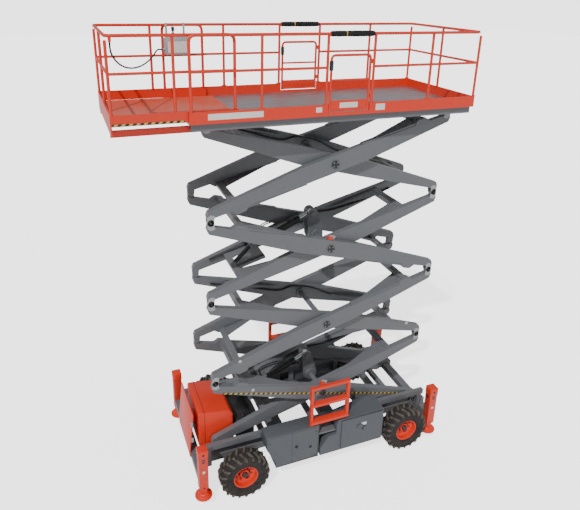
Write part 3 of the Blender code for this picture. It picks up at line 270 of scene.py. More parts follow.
route = [at(*CLIP)] + [at(x, y, CLIP[2] - drop) for x, y, drop in CABLE_SAG]
route += [at(BOX_GLAND[0] - back, BOX_GLAND[1], BOX_GLAND[2]) for back in (0.07, 0.035, 0.0)]
cable_points = through(route, 44)
cable_line = bpy.data.curves.new("control_cable", "CURVE")
cable_line.dimensions = "3D"
cable_line.bevel_depth = CABLE_RADIUS
cable_line.bevel_resolution = 5
cable_line.use_fill_caps = True
spline = cable_line.splines.new("POLY")
spline.points.add(len(cable_points) - 1)
for point, place in zip(spline.points, cable_points):
    point.co = (*place, 1.0)
cable = bpy.data.objects.new("control_cable", cable_line)
bpy.context.scene.collection.objects.link(cable)
cable_line.materials.append(HOSE)
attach(cable, "extension")
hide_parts("cord")
print("cable", round(line_length(cable_points), 3), "m")

# %% [markdown]
# ## Shape helpers
# Most pieces are one of four shapes: a block with its edges broken, a bent tube, a turned body, or a flat plate.
# Each helper adds its shape to one bmesh, so a piece can be built from several, and `piece` makes the object.

# %% Shape helpers
SIDES = ((-1, "near"), (1, "far"))


def span(side, inner, outer):
    """Two distances from the middle plane as two Y values in rising order, on one side of the machine."""
    return sorted((side * inner, side * outer))


def new_object(name, shape):
    """Makes an object from a bmesh, with its place in its mesh."""
    mesh = bpy.data.meshes.new(name)
    shape.to_mesh(mesh)
    shape.free()
    made = bpy.data.objects.new(name, mesh)
    bpy.context.scene.collection.objects.link(made)
    return made


def applied(made):
    """Swaps an object's mesh for what its modifiers make of it, and removes them."""
    bpy.context.view_layer.update()
    plain = bpy.data.meshes.new_from_object(made.evaluated_get(bpy.context.evaluated_depsgraph_get()))
    made.modifiers.clear()
    made.data = plain
    return plain


def piece(name, shape, finish, body, smooth=None, hide=()):
    """An object from a bmesh that rides on a CAD body; hide names the CAD nodes it stands in for."""
    bmesh.ops.recalc_face_normals(shape, faces=shape.faces)
    made = new_object(name, shape)
    mesh = made.data
    mesh.materials.append(finish)
    if smooth is not None:
        mesh.shade_smooth()
        mesh.set_sharp_from_angle(angle=math.radians(smooth))
    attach(made, body)
    if hide:
        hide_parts(*hide)
    return made


def add_block(shape, low, high, edge=0.0, matrix=None):
    """A block from corner to corner, in the machine's own X, with its edges broken by a small round."""
    part = bmesh.new()
    low, high = at(*low), at(*high)
    size = high - low
    place = Matrix.Translation((low + high) / 2) @ Matrix.Diagonal((abs(size.x), abs(size.y), abs(size.z), 1))
    bmesh.ops.create_cube(part, size=1, matrix=place)
    if edge:
        bmesh.ops.bevel(part, geom=part.edges[:], offset=edge, segments=2, affect="EDGES", profile=0.5)
    merge(shape, part, matrix)


def merge(shape, part, matrix=None):
    if matrix:
        bmesh.ops.transform(part, matrix=matrix, verts=part.verts)
    holder = bpy.data.meshes.new("holder")
    part.to_mesh(holder)
    part.free()
    shape.from_mesh(holder)
    bpy.data.meshes.remove(holder)


def disc(radius, high, low=0.0):
    """The profile of a plain flat disc."""
    return [(0, low), (radius, low), (radius, high), (0, high)]


def join_rings(shape, rings):
    """Walls between matching rings of corners, with the first and last rings closed."""
    for low, high in zip(rings, rings[1:]):
        for i in range(len(low)):
            j = (i + 1) % len(low)
            shape.faces.new((low[i], low[j], high[j], high[i]))
    shape.faces.new(rings[0])
    shape.faces.new(rings[-1])


def add_turned(shape, centre, axis, profile, sides=32):
    """A (radius, along) profile turned round an axis through a centre; it starts and ends on the axis."""
    part = bmesh.new()
    rings = []
    for radius, along in profile:
        count = 1 if radius < 1e-6 else sides
        rings.append([part.verts.new((radius * math.cos(2 * math.pi * i / sides),
                                      radius * math.sin(2 * math.pi * i / sides), along)) for i in range(count)])
    for low, high in zip(rings, rings[1:]):
        for i in range(sides):
            j = (i + 1) % sides
            if len(low) == 1:
                part.faces.new((low[0], high[i], high[j]))
            elif len(high) == 1:
                part.faces.new((low[i], low[j], high[0]))
            else:
                part.faces.new((low[i], low[j], high[j], high[i]))
    turn = Vector(axis).to_track_quat("Z", "Y").to_matrix().to_4x4()
    merge(shape, part, Matrix.Translation(centre) @ turn)


def rounded(points, corner):
    """A path with each of its corners swapped for an arc of points."""
    made = [points[0]]
    for before, here, after in zip(points, points[1:], points[2:]):
        arrive, leave = (here - before).normalized(), (after - here).normalized()
        if arrive.angle(leave) < 0.05:
            made.append(here)
            continue
        cut = min(corner, (here - before).length / 2.1, (after - here).length / 2.1)
        start, end = here - arrive * cut, here + leave * cut
        for i in range(7):
            t = i / 6
            made.append((1 - t) ** 2 * start + 2 * t * (1 - t) * here + t ** 2 * end)
    return made + [points[-1]]


def add_tube(shape, points, radius, corner=0.0, sides=14):
    """A round tube along a path, capped at both ends."""
    path = rounded([Vector(p) for p in points], corner) if corner else [Vector(p) for p in points]
    forward = (path[1] - path[0]).normalized()
    side = forward.orthogonal().normalized()
    rings = []
    for i, place in enumerate(path):
        ahead = (path[min(i + 1, len(path) - 1)] - path[max(i - 1, 0)]).normalized()
        side = (side - ahead * side.dot(ahead)).normalized()
        other = ahead.cross(side)
        rings.append([shape.verts.new(place + radius * (math.cos(a) * side + math.sin(a) * other))
                      for a in (2 * math.pi * k / sides for k in range(sides))])
    for low, high in zip(rings, rings[1:]):
        for k in range(sides):
            shape.faces.new((low[k], low[(k + 1) % sides], high[(k + 1) % sides], high[k]))
    shape.faces.new(rings[0][::-1])
    shape.faces.new(rings[-1])


def add_bar(shape, start, end, radius):
    """A straight round bar between two places in the machine's own X."""
    add_tube(shape, [at(*start), at(*end)], radius)


# %% [markdown]
# ## Softened edges
# Pressed and welded steel never has a knife edge: every fold has a small radius that catches a line of light.
# The boxy CAD nodes are copied, their loose triangles are merged, and a Bevel modifier rounds what is left.

# %% Softened panels
def softened(name, finish, width=0.006, angle=35):
    body = nodes[name]
    shape = bmesh.new()
    shape.from_mesh(body.data)
    bmesh.ops.remove_doubles(shape, verts=shape.verts, dist=0.0001)
    bmesh.ops.dissolve_limit(shape, angle_limit=0.01, verts=shape.verts, edges=shape.edges)
    made = new_object(f"{name}_panel", shape)
    made.data.materials.clear()
    made.data.materials.append(finish)
    round_edges = made.modifiers.new("round", "BEVEL")
    round_edges.width, round_edges.segments = width, 2
    round_edges.limit_method, round_edges.angle_limit = "ANGLE", math.radians(angle)
    plain = applied(made)
    plain.shade_smooth()
    plain.set_sharp_from_angle(angle=math.radians(40))
    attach(made, body["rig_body"])
    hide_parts(name)
    return made


SOFT_PANELS = {"nose_hood": (ORANGE, 0.02), "nose_plate": (ORANGE, 0.006), "tank": (BLACK, 0.015)}
for side in ("near", "far"):
    SOFT_PANELS.update({
        f"cabinet_front_{side}": (CABINET, 0.008), f"cabinet_rear_{side}": (CABINET, 0.008),
        f"ladder_{side}": (ORANGE, 0.008), f"outrigger_front_{side}": (ORANGE, 0.008),
        f"outrigger_rear_{side}": (ORANGE, 0.008),
    })
for name, (finish, width) in SOFT_PANELS.items():
    softened(name, finish, width)
print("softened", len(SOFT_PANELS))

# %% [markdown]
# ## Guardrails
# The rails are steel tube, bent to a 90 mm radius at each top corner, with the posts notched into them and a
# small plate at each foot. A swept round path gives the true bends that the CAD's straight bars leave out.

# %% Guardrails
RAIL, POST = 0.021, 0.0195
RAIL_Y, RAIL_FRONT, RAIL_REAR = 0.915, -2.16, 2.185
TOP_RAIL, MID_RAIL_Z, SKIRT_TOP = FLOOR_TOP + 1.079, FLOOR_TOP + 0.64, 6.4704
GATE_POSTS = (-0.29, 0.42)


def add_hoop(shape, start, end, y, low):
    """The top rail: up one post, round the far end, and down the post across from it."""
    corners = ((start, -y, low), (start, -y, TOP_RAIL), (end, -y, TOP_RAIL),
               (end, y, TOP_RAIL), (start, y, TOP_RAIL), (start, y, low))
    add_tube(shape, [at(*p) for p in corners], RAIL, 0.09)


rails = bmesh.new()
add_hoop(rails, RAIL_FRONT, RAIL_REAR, RAIL_Y, SKIRT_TOP)
for side in (-1, 1):
    y = side * RAIL_Y
    for x in (-1.22, *GATE_POSTS, 1.36, RAIL_REAR):
        top = TOP_RAIL - (0.05 if x == RAIL_REAR else 0)
        add_bar(rails, (x, y, SKIRT_TOP), (x, y, top), POST)
        add_block(rails, (x - 0.04, y - 0.013, SKIRT_TOP), (x + 0.04, y + 0.013, SKIRT_TOP + 0.012), 0.003)
    for x0, x1 in ((RAIL_FRONT, GATE_POSTS[0]), (GATE_POSTS[1], RAIL_REAR)):
        add_bar(rails, (x0, y, MID_RAIL_Z), (x1, y, MID_RAIL_Z), 0.0184)
    for z in (SKIRT_TOP + 0.06, FLOOR_TOP + 0.68):
        add_block(rails, (0.385, y - 0.012, z), (0.42, y + 0.012, z + 0.06), 0.003)
add_bar(rails, (RAIL_REAR, -RAIL_Y, MID_RAIL_Z), (RAIL_REAR, RAIL_Y, MID_RAIL_Z), 0.018)
add_bar(rails, (RAIL_REAR, 0, SKIRT_TOP), (RAIL_REAR, 0, TOP_RAIL), POST)
piece("main_guardrail", rails, ORANGE, "platform", 40, ["guardrail"])

EXT_FRONT, EXT_Y, EXT_REAR = -3.128, 0.864, -1.57
EXT_LOW = 6.4785
front_rails = bmesh.new()
add_hoop(front_rails, EXT_REAR, EXT_FRONT, EXT_Y, EXT_LOW)
for side in (-1, 1):
    y = side * EXT_Y
    add_bar(front_rails, (EXT_FRONT, y, MID_RAIL_Z), (EXT_REAR, y, MID_RAIL_Z), 0.0184)
    for x in (EXT_FRONT, (EXT_FRONT + EXT_REAR) / 2):
        top = TOP_RAIL - (0.05 if x == EXT_FRONT else 0)
        add_bar(front_rails, (x, y, EXT_LOW), (x, y, top), POST)
add_bar(front_rails, (EXT_FRONT, -EXT_Y, MID_RAIL_Z), (EXT_FRONT, EXT_Y, MID_RAIL_Z), 0.018)
add_bar(front_rails, (EXT_FRONT, 0, EXT_LOW), (EXT_FRONT, 0, TOP_RAIL), POST)
add_block(front_rails, (-3.088, -0.869, FLOOR_TOP + 1.006), (-3.052, -0.827, TOP_RAIL), 0.004)
piece("front_guardrail", front_rails, ORANGE, "extension", 40, ["extension_guardrail"])

# %% [markdown]
# ## Gates
# Each gate is a bent hoop with a middle rail and a kick plate. A dark spring catch sits at its free edge, where a
# hand reaches it from the deck.

# %% Gates
GATE_HINGE_X, GATE_FREE_X, GATE_LOW, GATE_TOP = 0.362, -0.232, 6.3702, 7.1302
for side, word in SIDES:
    y = side * RAIL_Y
    hoop = [(GATE_HINGE_X, y, GATE_LOW), (GATE_HINGE_X, y, GATE_TOP), (GATE_FREE_X, y, GATE_TOP),
            (GATE_FREE_X, y, GATE_LOW)]
    gate = bmesh.new()
    add_tube(gate, [at(*p) for p in hoop], 0.018, 0.06)
    middle = (GATE_LOW + GATE_TOP) / 2 + 0.05
    add_bar(gate, (GATE_HINGE_X, y, middle), (GATE_FREE_X, y, middle), 0.015)
    add_bar(gate, (GATE_HINGE_X, y, GATE_LOW + 0.016), (GATE_FREE_X, y, GATE_LOW + 0.016), 0.015)
    add_block(gate, (GATE_FREE_X, y - 0.006, GATE_LOW + 0.01), (GATE_HINGE_X, y + 0.006, GATE_LOW + 0.15), 0.002)
    piece(f"gate_{word}_hoop", gate, ORANGE, f"gate_{word}", 40, [f"gate_{word}"])
    catch = bmesh.new()
    add_block(catch, (GATE_FREE_X - 0.022, y - 0.024, GATE_TOP - 0.20),
              (GATE_FREE_X + 0.022, y + 0.024, GATE_TOP - 0.07), 0.006)
    add_bar(catch, (GATE_FREE_X, y - 0.03, GATE_TOP - 0.10), (GATE_FREE_X, y + 0.03, GATE_TOP - 0.10), 0.009)
    piece(f"gate_{word}_catch", catch, BLACK, f"gate_{word}", 40)

# %% [markdown]
# ## Wheels
# A lug tyre has bars that run from the middle of the tread out over the shoulder, in two rows set half a pitch apart.
# One bar is built from listed stations, and a Geometry Nodes tree copies it round the wheel. The rim is turned steel
# with hand holes, drilled by a Boolean, and eight nuts on a circle.

# %% Trees that copy one shape, and the ring
def copying_tree(name, **sockets):
    """A new tree with its named inputs, and the sockets that give them."""
    tree = bpy.data.node_groups.new(name, "GeometryNodeTree")
    for socket, kind in {"Geometry": "Geometry", "Shape": "Object", **sockets}.items():
        tree.interface.new_socket(socket, in_out="INPUT", socket_type=f"NodeSocket{kind}")
    tree.interface.new_socket("Geometry", in_out="OUTPUT", socket_type="NodeSocketGeometry")
    return tree, add_node(tree, "NodeGroupInput").outputs


def copy_onto(tree, source, points, turn, finish):
    """Puts the shape on every point, makes the copies real, and paints them last."""
    shape = add_node(tree, "GeometryNodeObjectInfo", links={"Object": source["Shape"]})
    spin = add_node(tree, "FunctionNodeEulerToRotation", links={0: turn})
    copies = add_node(tree, "GeometryNodeInstanceOnPoints", links={
        "Points": points, "Instance": shape.outputs["Geometry"], "Rotation": spin.outputs[0]})
    real = add_node(tree, "GeometryNodeRealizeInstances", links={0: copies.outputs[0]})
    painted = add_node(tree, "GeometryNodeSetMaterial", links={0: real.outputs[0]}, Material=finish)
    add_node(tree, "NodeGroupOutput", links={0: painted.outputs[0]})
    return tree


def ring_tree(finish):
    """Copies turned about the Y axis through a centre."""
    tree, source = copying_tree("ring_of_copies", Count="Int", Start="Float", Centre="Vector")
    points = add_node(tree, "GeometryNodePoints", links={"Count": source["Count"], "Position": source["Centre"]})
    index = add_node(tree, "GeometryNodeInputIndex").outputs[0]
    pitch = add_node(tree, "ShaderNodeMath", {"operation": "DIVIDE"}, {1: source["Count"]}, i0=2 * math.pi)
    angle = add_node(tree, "ShaderNodeMath", {"operation": "MULTIPLY_ADD"},
                     {0: index, 1: pitch.outputs[0], 2: source["Start"]})
    turn = add_node(tree, "ShaderNodeCombineXYZ", links={"Y": angle.outputs[0]})
    return copy_onto(tree, source, points.outputs[0], turn.outputs[0], finish)


def grown(name, tree, values, body):
    """Runs a tree on an empty mesh with its named inputs, keeps the result as a plain mesh and rides it."""
    made = bpy.data.objects.new(name, bpy.data.meshes.new(name))
    bpy.context.scene.collection.objects.link(made)
    modifier = made.modifiers.new("grow", "NODES")
    modifier.node_group = tree
    for item in tree.interface.items_tree:
        if item.in_out == "INPUT" and item.name in values:
            modifier[item.identifier] = values[item.name]
    made.update_tag()
    applied(made)
    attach(made, body)
    return made


# %% Wheels
TYRE_RADIUS, WHEEL_Y, AXLE_X, RIM = 0.42, 1.0175, 1.535, 0.21
TYRE_PROFILE = [(RIM + 0.002, -0.118), (RIM + 0.02, -0.144), (0.31, -0.1520), (0.372, -0.142), (0.392, -0.118),
                (0.397, 0.0), (0.392, 0.118), (0.372, 0.142), (0.31, 0.1520), (RIM + 0.02, 0.144),
                (RIM + 0.002, 0.118)]
RIM_PROFILE = [(0.0, 0.045), (0.045, 0.052), (0.075, 0.045), (0.085, 0.012), (0.10, -0.004), (0.165, 0.012),
               (0.183, 0.03), (0.19, 0.118), (0.2, 0.1235), (RIM, 0.1235), (RIM, 0.110), (RIM - 0.007, 0.104),
               (RIM - 0.007, -0.104), (RIM, -0.110), (RIM, -0.1225), (0.19, -0.1225), (0.178, -0.03), (0.16, -0.02),
               (0.11, -0.045), (0.053, -0.045), (0.053, 0.0), (0.0, 0.0)]
LUG_COUNT, NUT_COUNT = 20, 8
HOLE_CIRCLE, HOLE_RADIUS = 0.143, 0.021
lug_ring, nut_ring = ring_tree(LUG_RUBBER), ring_tree(DARK_STEEL)


def lug_bar(side):
    """One tread bar over the top of a wheel, in four stations from the tread's middle to the shoulder."""
    bar = bmesh.new()
    rings = []
    for y, lean, half, top, low in ((0.006, 0.0, 0.024, 0.4195, 0.385), (0.06, 0.020, 0.021, 0.4195, 0.385),
                                    (0.118, 0.050, 0.022, 0.4165, 0.378), (0.146, 0.064, 0.026, 0.392, 0.36),
                                    (0.1515, 0.068, 0.02, 0.352, 0.335)):
        corners = [(lean - half, low), (lean - half * 0.8, top), (lean + half * 0.8, top), (lean + half, low)]
        rings.append([bar.verts.new((x, side * y, z)) for x, z in corners])
    join_rings(bar, rings)
    bmesh.ops.recalc_face_normals(bar, faces=bar.faces)
    bmesh.ops.bevel(bar, geom=bar.edges[:], offset=0.003, segments=1, affect="EDGES")
    return new_object("lug_bar", bar)


bars = {side: lug_bar(side) for side in (-1, 1)}
nut_shape = bmesh.new()
bmesh.ops.create_cone(nut_shape, cap_ends=True, segments=6, radius1=0.0125, radius2=0.0115, depth=0.022,
                      matrix=Matrix.Translation((0, 0, 0.088)) @ Matrix.Rotation(math.pi / 2, 4, "X"))
nut = new_object("wheel_nut", nut_shape)

for place, x in (("front", -AXLE_X), ("rear", AXLE_X)):
    for side, word in SIDES:
        body, centre = f"wheel_{place}_{word}", at(x, side * WHEEL_Y, TYRE_RADIUS)
        carcass = bmesh.new()
        add_turned(carcass, centre, (0, 1, 0), [*TYRE_PROFILE, TYRE_PROFILE[0]], 64)
        bmesh.ops.remove_doubles(carcass, verts=carcass.verts, dist=0.0001)
        piece(f"tyre_{place}_{word}_carcass", carcass, TYRE, body, 50, [f"tyre_{place}_{word}"])
        for row in (-1, 1):
            start = 0.0 if row == 1 else math.pi / LUG_COUNT
            grown(f"tyre_{place}_{word}_lugs_{'in' if row == side else 'out'}", lug_ring,
                  {"Shape": bars[row], "Count": LUG_COUNT, "Start": start, "Centre": centre}, body)
        dish = bmesh.new()
        add_turned(dish, centre, (0, side, 0), RIM_PROFILE, 64)
        drill = bmesh.new()
        for k in range(NUT_COUNT):
            a = 2 * math.pi * (k + 0.5) / NUT_COUNT
            hole = centre + Vector((HOLE_CIRCLE * math.cos(a), 0, HOLE_CIRCLE * math.sin(a)))
            add_turned(drill, hole, (0, 1, 0), disc(HOLE_RADIUS, 0.1, -0.1), 20)
        bmesh.ops.recalc_face_normals(drill, faces=drill.faces)
        cutter = new_object("drill", drill)
        rim = piece(f"rim_{place}_{word}_dish", dish, ORANGE, body, 40, [f"rim_{place}_{word}"])
        holes = rim.modifiers.new("holes", "BOOLEAN")
        holes.object, holes.operation, holes.solver = cutter, "DIFFERENCE", "EXACT"
        applied(rim).set_sharp_from_angle(angle=math.radians(40))
        bpy.data.objects.remove(cutter)
        face = centre + Vector((0, side * 0.022, 0))
        grown(f"rim_{place}_{word}_nuts", nut_ring,
              {"Shape": nut, "Count": NUT_COUNT, "Start": 0.0, "Centre": face}, body)
        cap = bmesh.new()
        add_turned(cap, centre + Vector((0, side * 0.04, 0)), (0, side, 0),
                   [(0, 0), (0.05, 0), (0.05, 0.03), (0.042, 0.042), (0, 0.046)], 32)
        piece(f"rim_{place}_{word}_cap", cap, BLACK, body, 40)
for shape in (*bars.values(), nut):
    bpy.data.objects.remove(shape)
print("wheels done")

# %% [markdown]
# ## Places on the scissor
# Every frame leans by the same angle, one way or the other. One function gives a place on a frame from how far it
# lies along and across that frame, so that each detail is set out as a fitter would, from the frame's own middle.

# %% Places on a frame
RISE, REACH, LEAN = 1.39009, 3.83589, math.radians(15.4215)
HALF_ARM, PIN_OFFSET, LOW_PIN_X, LOW_PIN_Z = 2.03371, 0.16, -1.89, 0.65
FRAMES = {  # name: (stage, which way it rises, half its width over the arms' outer faces)
    "inner_frame_1": (1, 1, 0.557), "outer_frame_1": (1, -1, 0.674), "outer_frame_2": (2, 1, 0.674),
    "inner_frame_2": (2, -1, 0.557), "inner_frame_3": (3, 1, 0.557), "outer_frame_3": (3, -1, 0.674),
    "outer_frame_4": (4, 1, 0.674), "inner_frame_4": (4, -1, 0.557),
}


def stage_middle(stage):
    return at(LOW_PIN_X + REACH / 2, 0, LOW_PIN_Z + (stage - 0.5) * RISE)


def frame_matrix(name):
    """Turns (along, y, across) on a frame into a place in the model."""
    stage, way, _ = FRAMES[name]
    return Matrix.Translation(stage_middle(stage)) @ Matrix.Rotation(-way * LEAN, 4, "Y")


def on_frame(name, along, y, across):
    return frame_matrix(name) @ Vector((along, y, across))


def frame_block(shape, name, low, high, edge=0.0):
    """A block given along, y and across on a frame."""
    part = bmesh.new()
    add_block(part, (low[0] - MACHINE_SHIFT, *low[1:]), (high[0] - MACHINE_SHIFT, *high[1:]), edge)
    merge(shape, part, frame_matrix(name))


# %% [markdown]
# ## Pins, caps and ears
# Each arm ends in two ears of lighter plate, welded on after painting, round a hardened pin. A dark keeper plate and
# one bolt hold the pin, and the middle shaft has a keeper with four bolts. Flat round bodies turned about Y do it.

# %% Pins and keepers
def ear_plate(shape, name, low, side):
    _, way, half = FRAMES[name]
    sign = 1 if low else -1
    along, across = -way * HALF_ARM * sign, -PIN_OFFSET * sign
    outline = [(0.052 * math.cos(a), 0.052 * math.sin(a)) for a in (math.pi * (1 + i / 10) for i in range(11))]
    outline += [(0.088, 0.085), (0.03, 0.118), (-0.026, 0.100)]
    part = bmesh.new()
    rings = []
    for y in (side * (half - 0.004), side * (half + 0.0035)):
        rings.append([part.verts.new((along + way * sign * u, y, across + sign * v)) for u, v in outline])
    join_rings(part, rings)
    bmesh.ops.recalc_face_normals(part, faces=part.faces)
    bmesh.ops.bevel(part, geom=part.edges[:], offset=0.0015, segments=1, affect="EDGES")
    merge(shape, part, frame_matrix(name))


KEEPER_PROFILE = [(0, -0.02), (0.036, -0.02), (0.036, 0.010), (0.030, 0.016), (0, 0.016)]
KEEPER_BOLT = [(0, 0.01), (0.013, 0.01), (0.013, 0.025), (0.009, 0.028), (0, 0.028)]
SHAFT_KEEPER = [(0, -0.01), (0.06, -0.01), (0.06, 0.004), (0.055, 0.008), (0, 0.008)]
for name, (_, way, half) in FRAMES.items():
    plates, keepers, bolts = bmesh.new(), bmesh.new(), bmesh.new()
    for side in (-1, 1):
        out = Vector((0, side, 0))
        for low in (True, False):
            sign = 1 if low else -1
            end = on_frame(name, -way * HALF_ARM * sign, side * (half + 0.003), -PIN_OFFSET * sign)
            ear_plate(plates, name, low, side)
            add_turned(keepers, end, out, KEEPER_PROFILE, 28)
            add_turned(bolts, end, out, KEEPER_BOLT, 6)
        if "outer" in name:
            middle = on_frame(name, 0, side * (half + 0.010), 0)
            add_turned(keepers, middle, out, SHAFT_KEEPER, 36)
            for k in range(4):
                a = math.pi / 4 + k * math.pi / 2
                spot = middle + Vector((0.042 * math.cos(a), 0, 0.042 * math.sin(a)))
                add_turned(bolts, spot, out, disc(0.009, 0.016, 0.004), 6)
    piece(f"{name}_ear_plates", plates, PALE, name, 35)
    piece(f"{name}_pin_keepers", keepers, BLACK, name, 35)
    piece(f"{name}_keeper_bolts", bolts, STEEL, name, 35)

# %% [markdown]
# ## Warning tape
# A strip of yellow and black tape runs along the near lowest arm, and a shorter one along the extension's side. Each
# is a thin black strip with slanted yellow patches, which a Geometry Nodes row repeats at a 90 mm pitch.

# %% A tree that repeats one shape in a row
def row_tree(finish):
    tree, source = copying_tree("row_of_copies", Count="Int", Start="Vector", Step="Vector", Turn="Vector")
    index = add_node(tree, "GeometryNodeInputIndex").outputs[0]
    along = add_node(tree, "ShaderNodeVectorMath", {"operation": "SCALE"}, {0: source["Step"], "Scale": index})
    place = add_node(tree, "ShaderNodeVectorMath", {"operation": "ADD"}, {0: source["Start"], 1: along.outputs[0]})
    points = add_node(tree, "GeometryNodePoints", links={"Count": source["Count"], "Position": place.outputs[0]})
    return copy_onto(tree, source, points.outputs[0], source["Turn"], finish)


def template(name, shape):
    """A shape kept only long enough for a tree to copy it."""
    bmesh.ops.recalc_face_normals(shape, faces=shape.faces)
    return new_object(name, shape)


# %% Tape on the arm and on the extension
yellow_row = row_tree(YELLOW)
PATCH = ((-0.03, -0.014), (0.012, -0.014), (0.03, 0.014), (-0.012, 0.014))  # slanted, along and up the tape
TAPE_PITCH = 0.09
patch_shape = bmesh.new()
join_rings(patch_shape, [[patch_shape.verts.new((x, y, z)) for x, z in PATCH] for y in (-0.0004, 0.0004)])
patch = template("tape_patch", patch_shape)
TAPE_START, TAPE_END, TAPE_Y = -1.86, 1.86, -0.6756
tape = bmesh.new()
frame_block(tape, "outer_frame_1", (TAPE_START, TAPE_Y, -0.037), (TAPE_END, TAPE_Y + 0.0026, -0.007))
piece("outer_frame_1_tape", tape, BLACK, "outer_frame_1")
count = int((TAPE_END - TAPE_START) / TAPE_PITCH)
start = on_frame("outer_frame_1", TAPE_START + 0.045, TAPE_Y - 0.0006, -0.022)
step = on_frame("outer_frame_1", TAPE_START + 0.135, TAPE_Y - 0.0006, -0.022) - start
grown("outer_frame_1_tape_patches", yellow_row,
      {"Shape": patch, "Count": count, "Start": start, "Step": step, "Turn": Vector((0, LEAN, 0))}, "outer_frame_1")
strip = bmesh.new()
for side in (-1, 1):
    y0, y1 = span(side, 0.8845, 0.8862)
    add_block(strip, (-3.13, y0, 6.342), (-2.24, y1, 6.372))
piece("extension_tape", strip, BLACK, "extension")
for side, word in SIDES:
    grown(f"extension_tape_patches_{word}", yellow_row,
          {"Shape": patch, "Count": 10, "Start": at(-3.085, side * 0.8866, 6.357), "Step": Vector((TAPE_PITCH, 0, 0)),
           "Turn": Vector((0, 0, 0))}, "extension")
bpy.data.objects.remove(patch)

# %% [markdown]
# ## Tread plate
# The main floor is rolled aluminium with raised bars that lie one way and then the other. A Geometry Nodes grid
# sets the bars out at a 70 mm pitch, coarser than the real 30 mm. They stand only 0.2 mm high, too low to show from
# a distance, because the extension's floor slides 0.3 mm above the main floor.

# %% Tread bars
def grid_tree(finish):
    tree, source = copying_tree("grid_of_copies", Length="Float", Width="Float", Pitch="Float", Centre="Vector",
                                Angle="Float")
    counts = [add_node(tree, "ShaderNodeMath", {"operation": "DIVIDE"}, {0: source[way], 1: source["Pitch"]})
              for way in ("Length", "Width")]
    grid = add_node(tree, "GeometryNodeMeshGrid", links={
        "Size X": source["Length"], "Size Y": source["Width"], "Vertices X": counts[0].outputs[0],
        "Vertices Y": counts[1].outputs[0]})
    placed = add_node(tree, "GeometryNodeTransform",
                      links={"Geometry": grid.outputs[0], "Translation": source["Centre"]})
    turn = add_node(tree, "ShaderNodeCombineXYZ", links={"Z": source["Angle"]})
    return copy_onto(tree, source, placed.outputs[0], turn.outputs[0], finish)


BAR_HEIGHT = 0.00022
bar_shape = bmesh.new()
outline = [(-0.022, 0), (-0.012, -0.005), (0.012, -0.005), (0.022, 0), (0.012, 0.005), (-0.012, 0.005)]
join_rings(bar_shape, [[bar_shape.verts.new((x, y, -0.0005)) for x, y in outline],
                       [bar_shape.verts.new((x * 0.9, y * 0.8, BAR_HEIGHT)) for x, y in outline]])
tread_bar = template("tread_bar", bar_shape)
tread_tree = grid_tree(TREAD_PLATE)
floor_middle = at(0.03, 0, FLOOR_TOP)
for word, shift, angle in (("one", 0.0, 0.8), ("two", 0.035, -0.8)):
    grown(f"tread_bars_{word}", tread_tree,
          {"Shape": tread_bar, "Length": 4.1, "Width": 1.66, "Pitch": 0.07,
           "Centre": floor_middle + Vector((shift, shift, 0)), "Angle": angle}, "platform")
bpy.data.objects.remove(tread_bar)

# %% [markdown]
# ## Platform trim
# Blank labels by the gates, and foam sleeves on the top rails above them. A sleeve is soft closed-cell foam that
# swells on both sides of its one yellow tie, so it is a crowned form.

# %% Labels and foam sleeves
SKIRT_FACE, GATE_MIDDLE = 0.93, 0.065
SLEEVE_PROFILE = [
    (0.0, -0.33), (0.030, -0.328), (0.0365, -0.31), (0.039, -0.2), (0.037, -0.11), (0.033, -0.10),
    (0.037, -0.09), (0.040, 0.05), (0.039, 0.2), (0.0365, 0.31), (0.030, 0.328), (0.0, 0.33),
]
labels = bmesh.new()
for side in (-1, 1):
    y0, y1 = span(side, SKIRT_FACE - 0.001, SKIRT_FACE + 0.0015)
    for x0, x1, z0, z1 in ((-0.44, -0.35, 6.372, 6.442), (0.49, 0.64, 6.355, 6.445), (-1.95, -1.20, 6.36, 6.44)):
        add_block(labels, (x0, y0, z0), (x1, y1, z1), 0.0005)
piece("skirt_labels", labels, WHITE, "platform")
rear_label = bmesh.new()
add_block(rear_label, (2.209, -0.35, 6.36), (2.2115, 0.35, 6.44), 0.0005)
piece("rear_label", rear_label, WHITE, "platform")
for side, word in SIDES:
    gate_label = bmesh.new()
    y = side * RAIL_Y
    y0, y1 = sorted((y + side * 0.0055, y + side * 0.008))
    add_block(gate_label, (-0.08, y0, 6.415), (0.20, y1, 6.49), 0.0005)
    piece(f"gate_{word}_label", gate_label, WHITE, f"gate_{word}")
    sleeve = bmesh.new()
    add_turned(sleeve, at(GATE_MIDDLE, y, TOP_RAIL), (1, 0, 0), SLEEVE_PROFILE, 32)
    pad = piece(f"rail_sleeve_{word}", sleeve, FOAM, "platform", 50)
    tie = bmesh.new()
    add_turned(tie, at(GATE_MIDDLE - 0.10, y, TOP_RAIL), (1, 0, 0), disc(0.0355, 0.008, -0.008), 32)
    piece(f"rail_sleeve_tie_{word}", tie, YELLOW, "platform")

# %% [markdown]
# ## Control box
# A cast grey box with a stick in a rubber boot, an emergency button and three toggle switches. The CAD body gives
# its size, and the small parts stand on its top, where a thumb finds them.

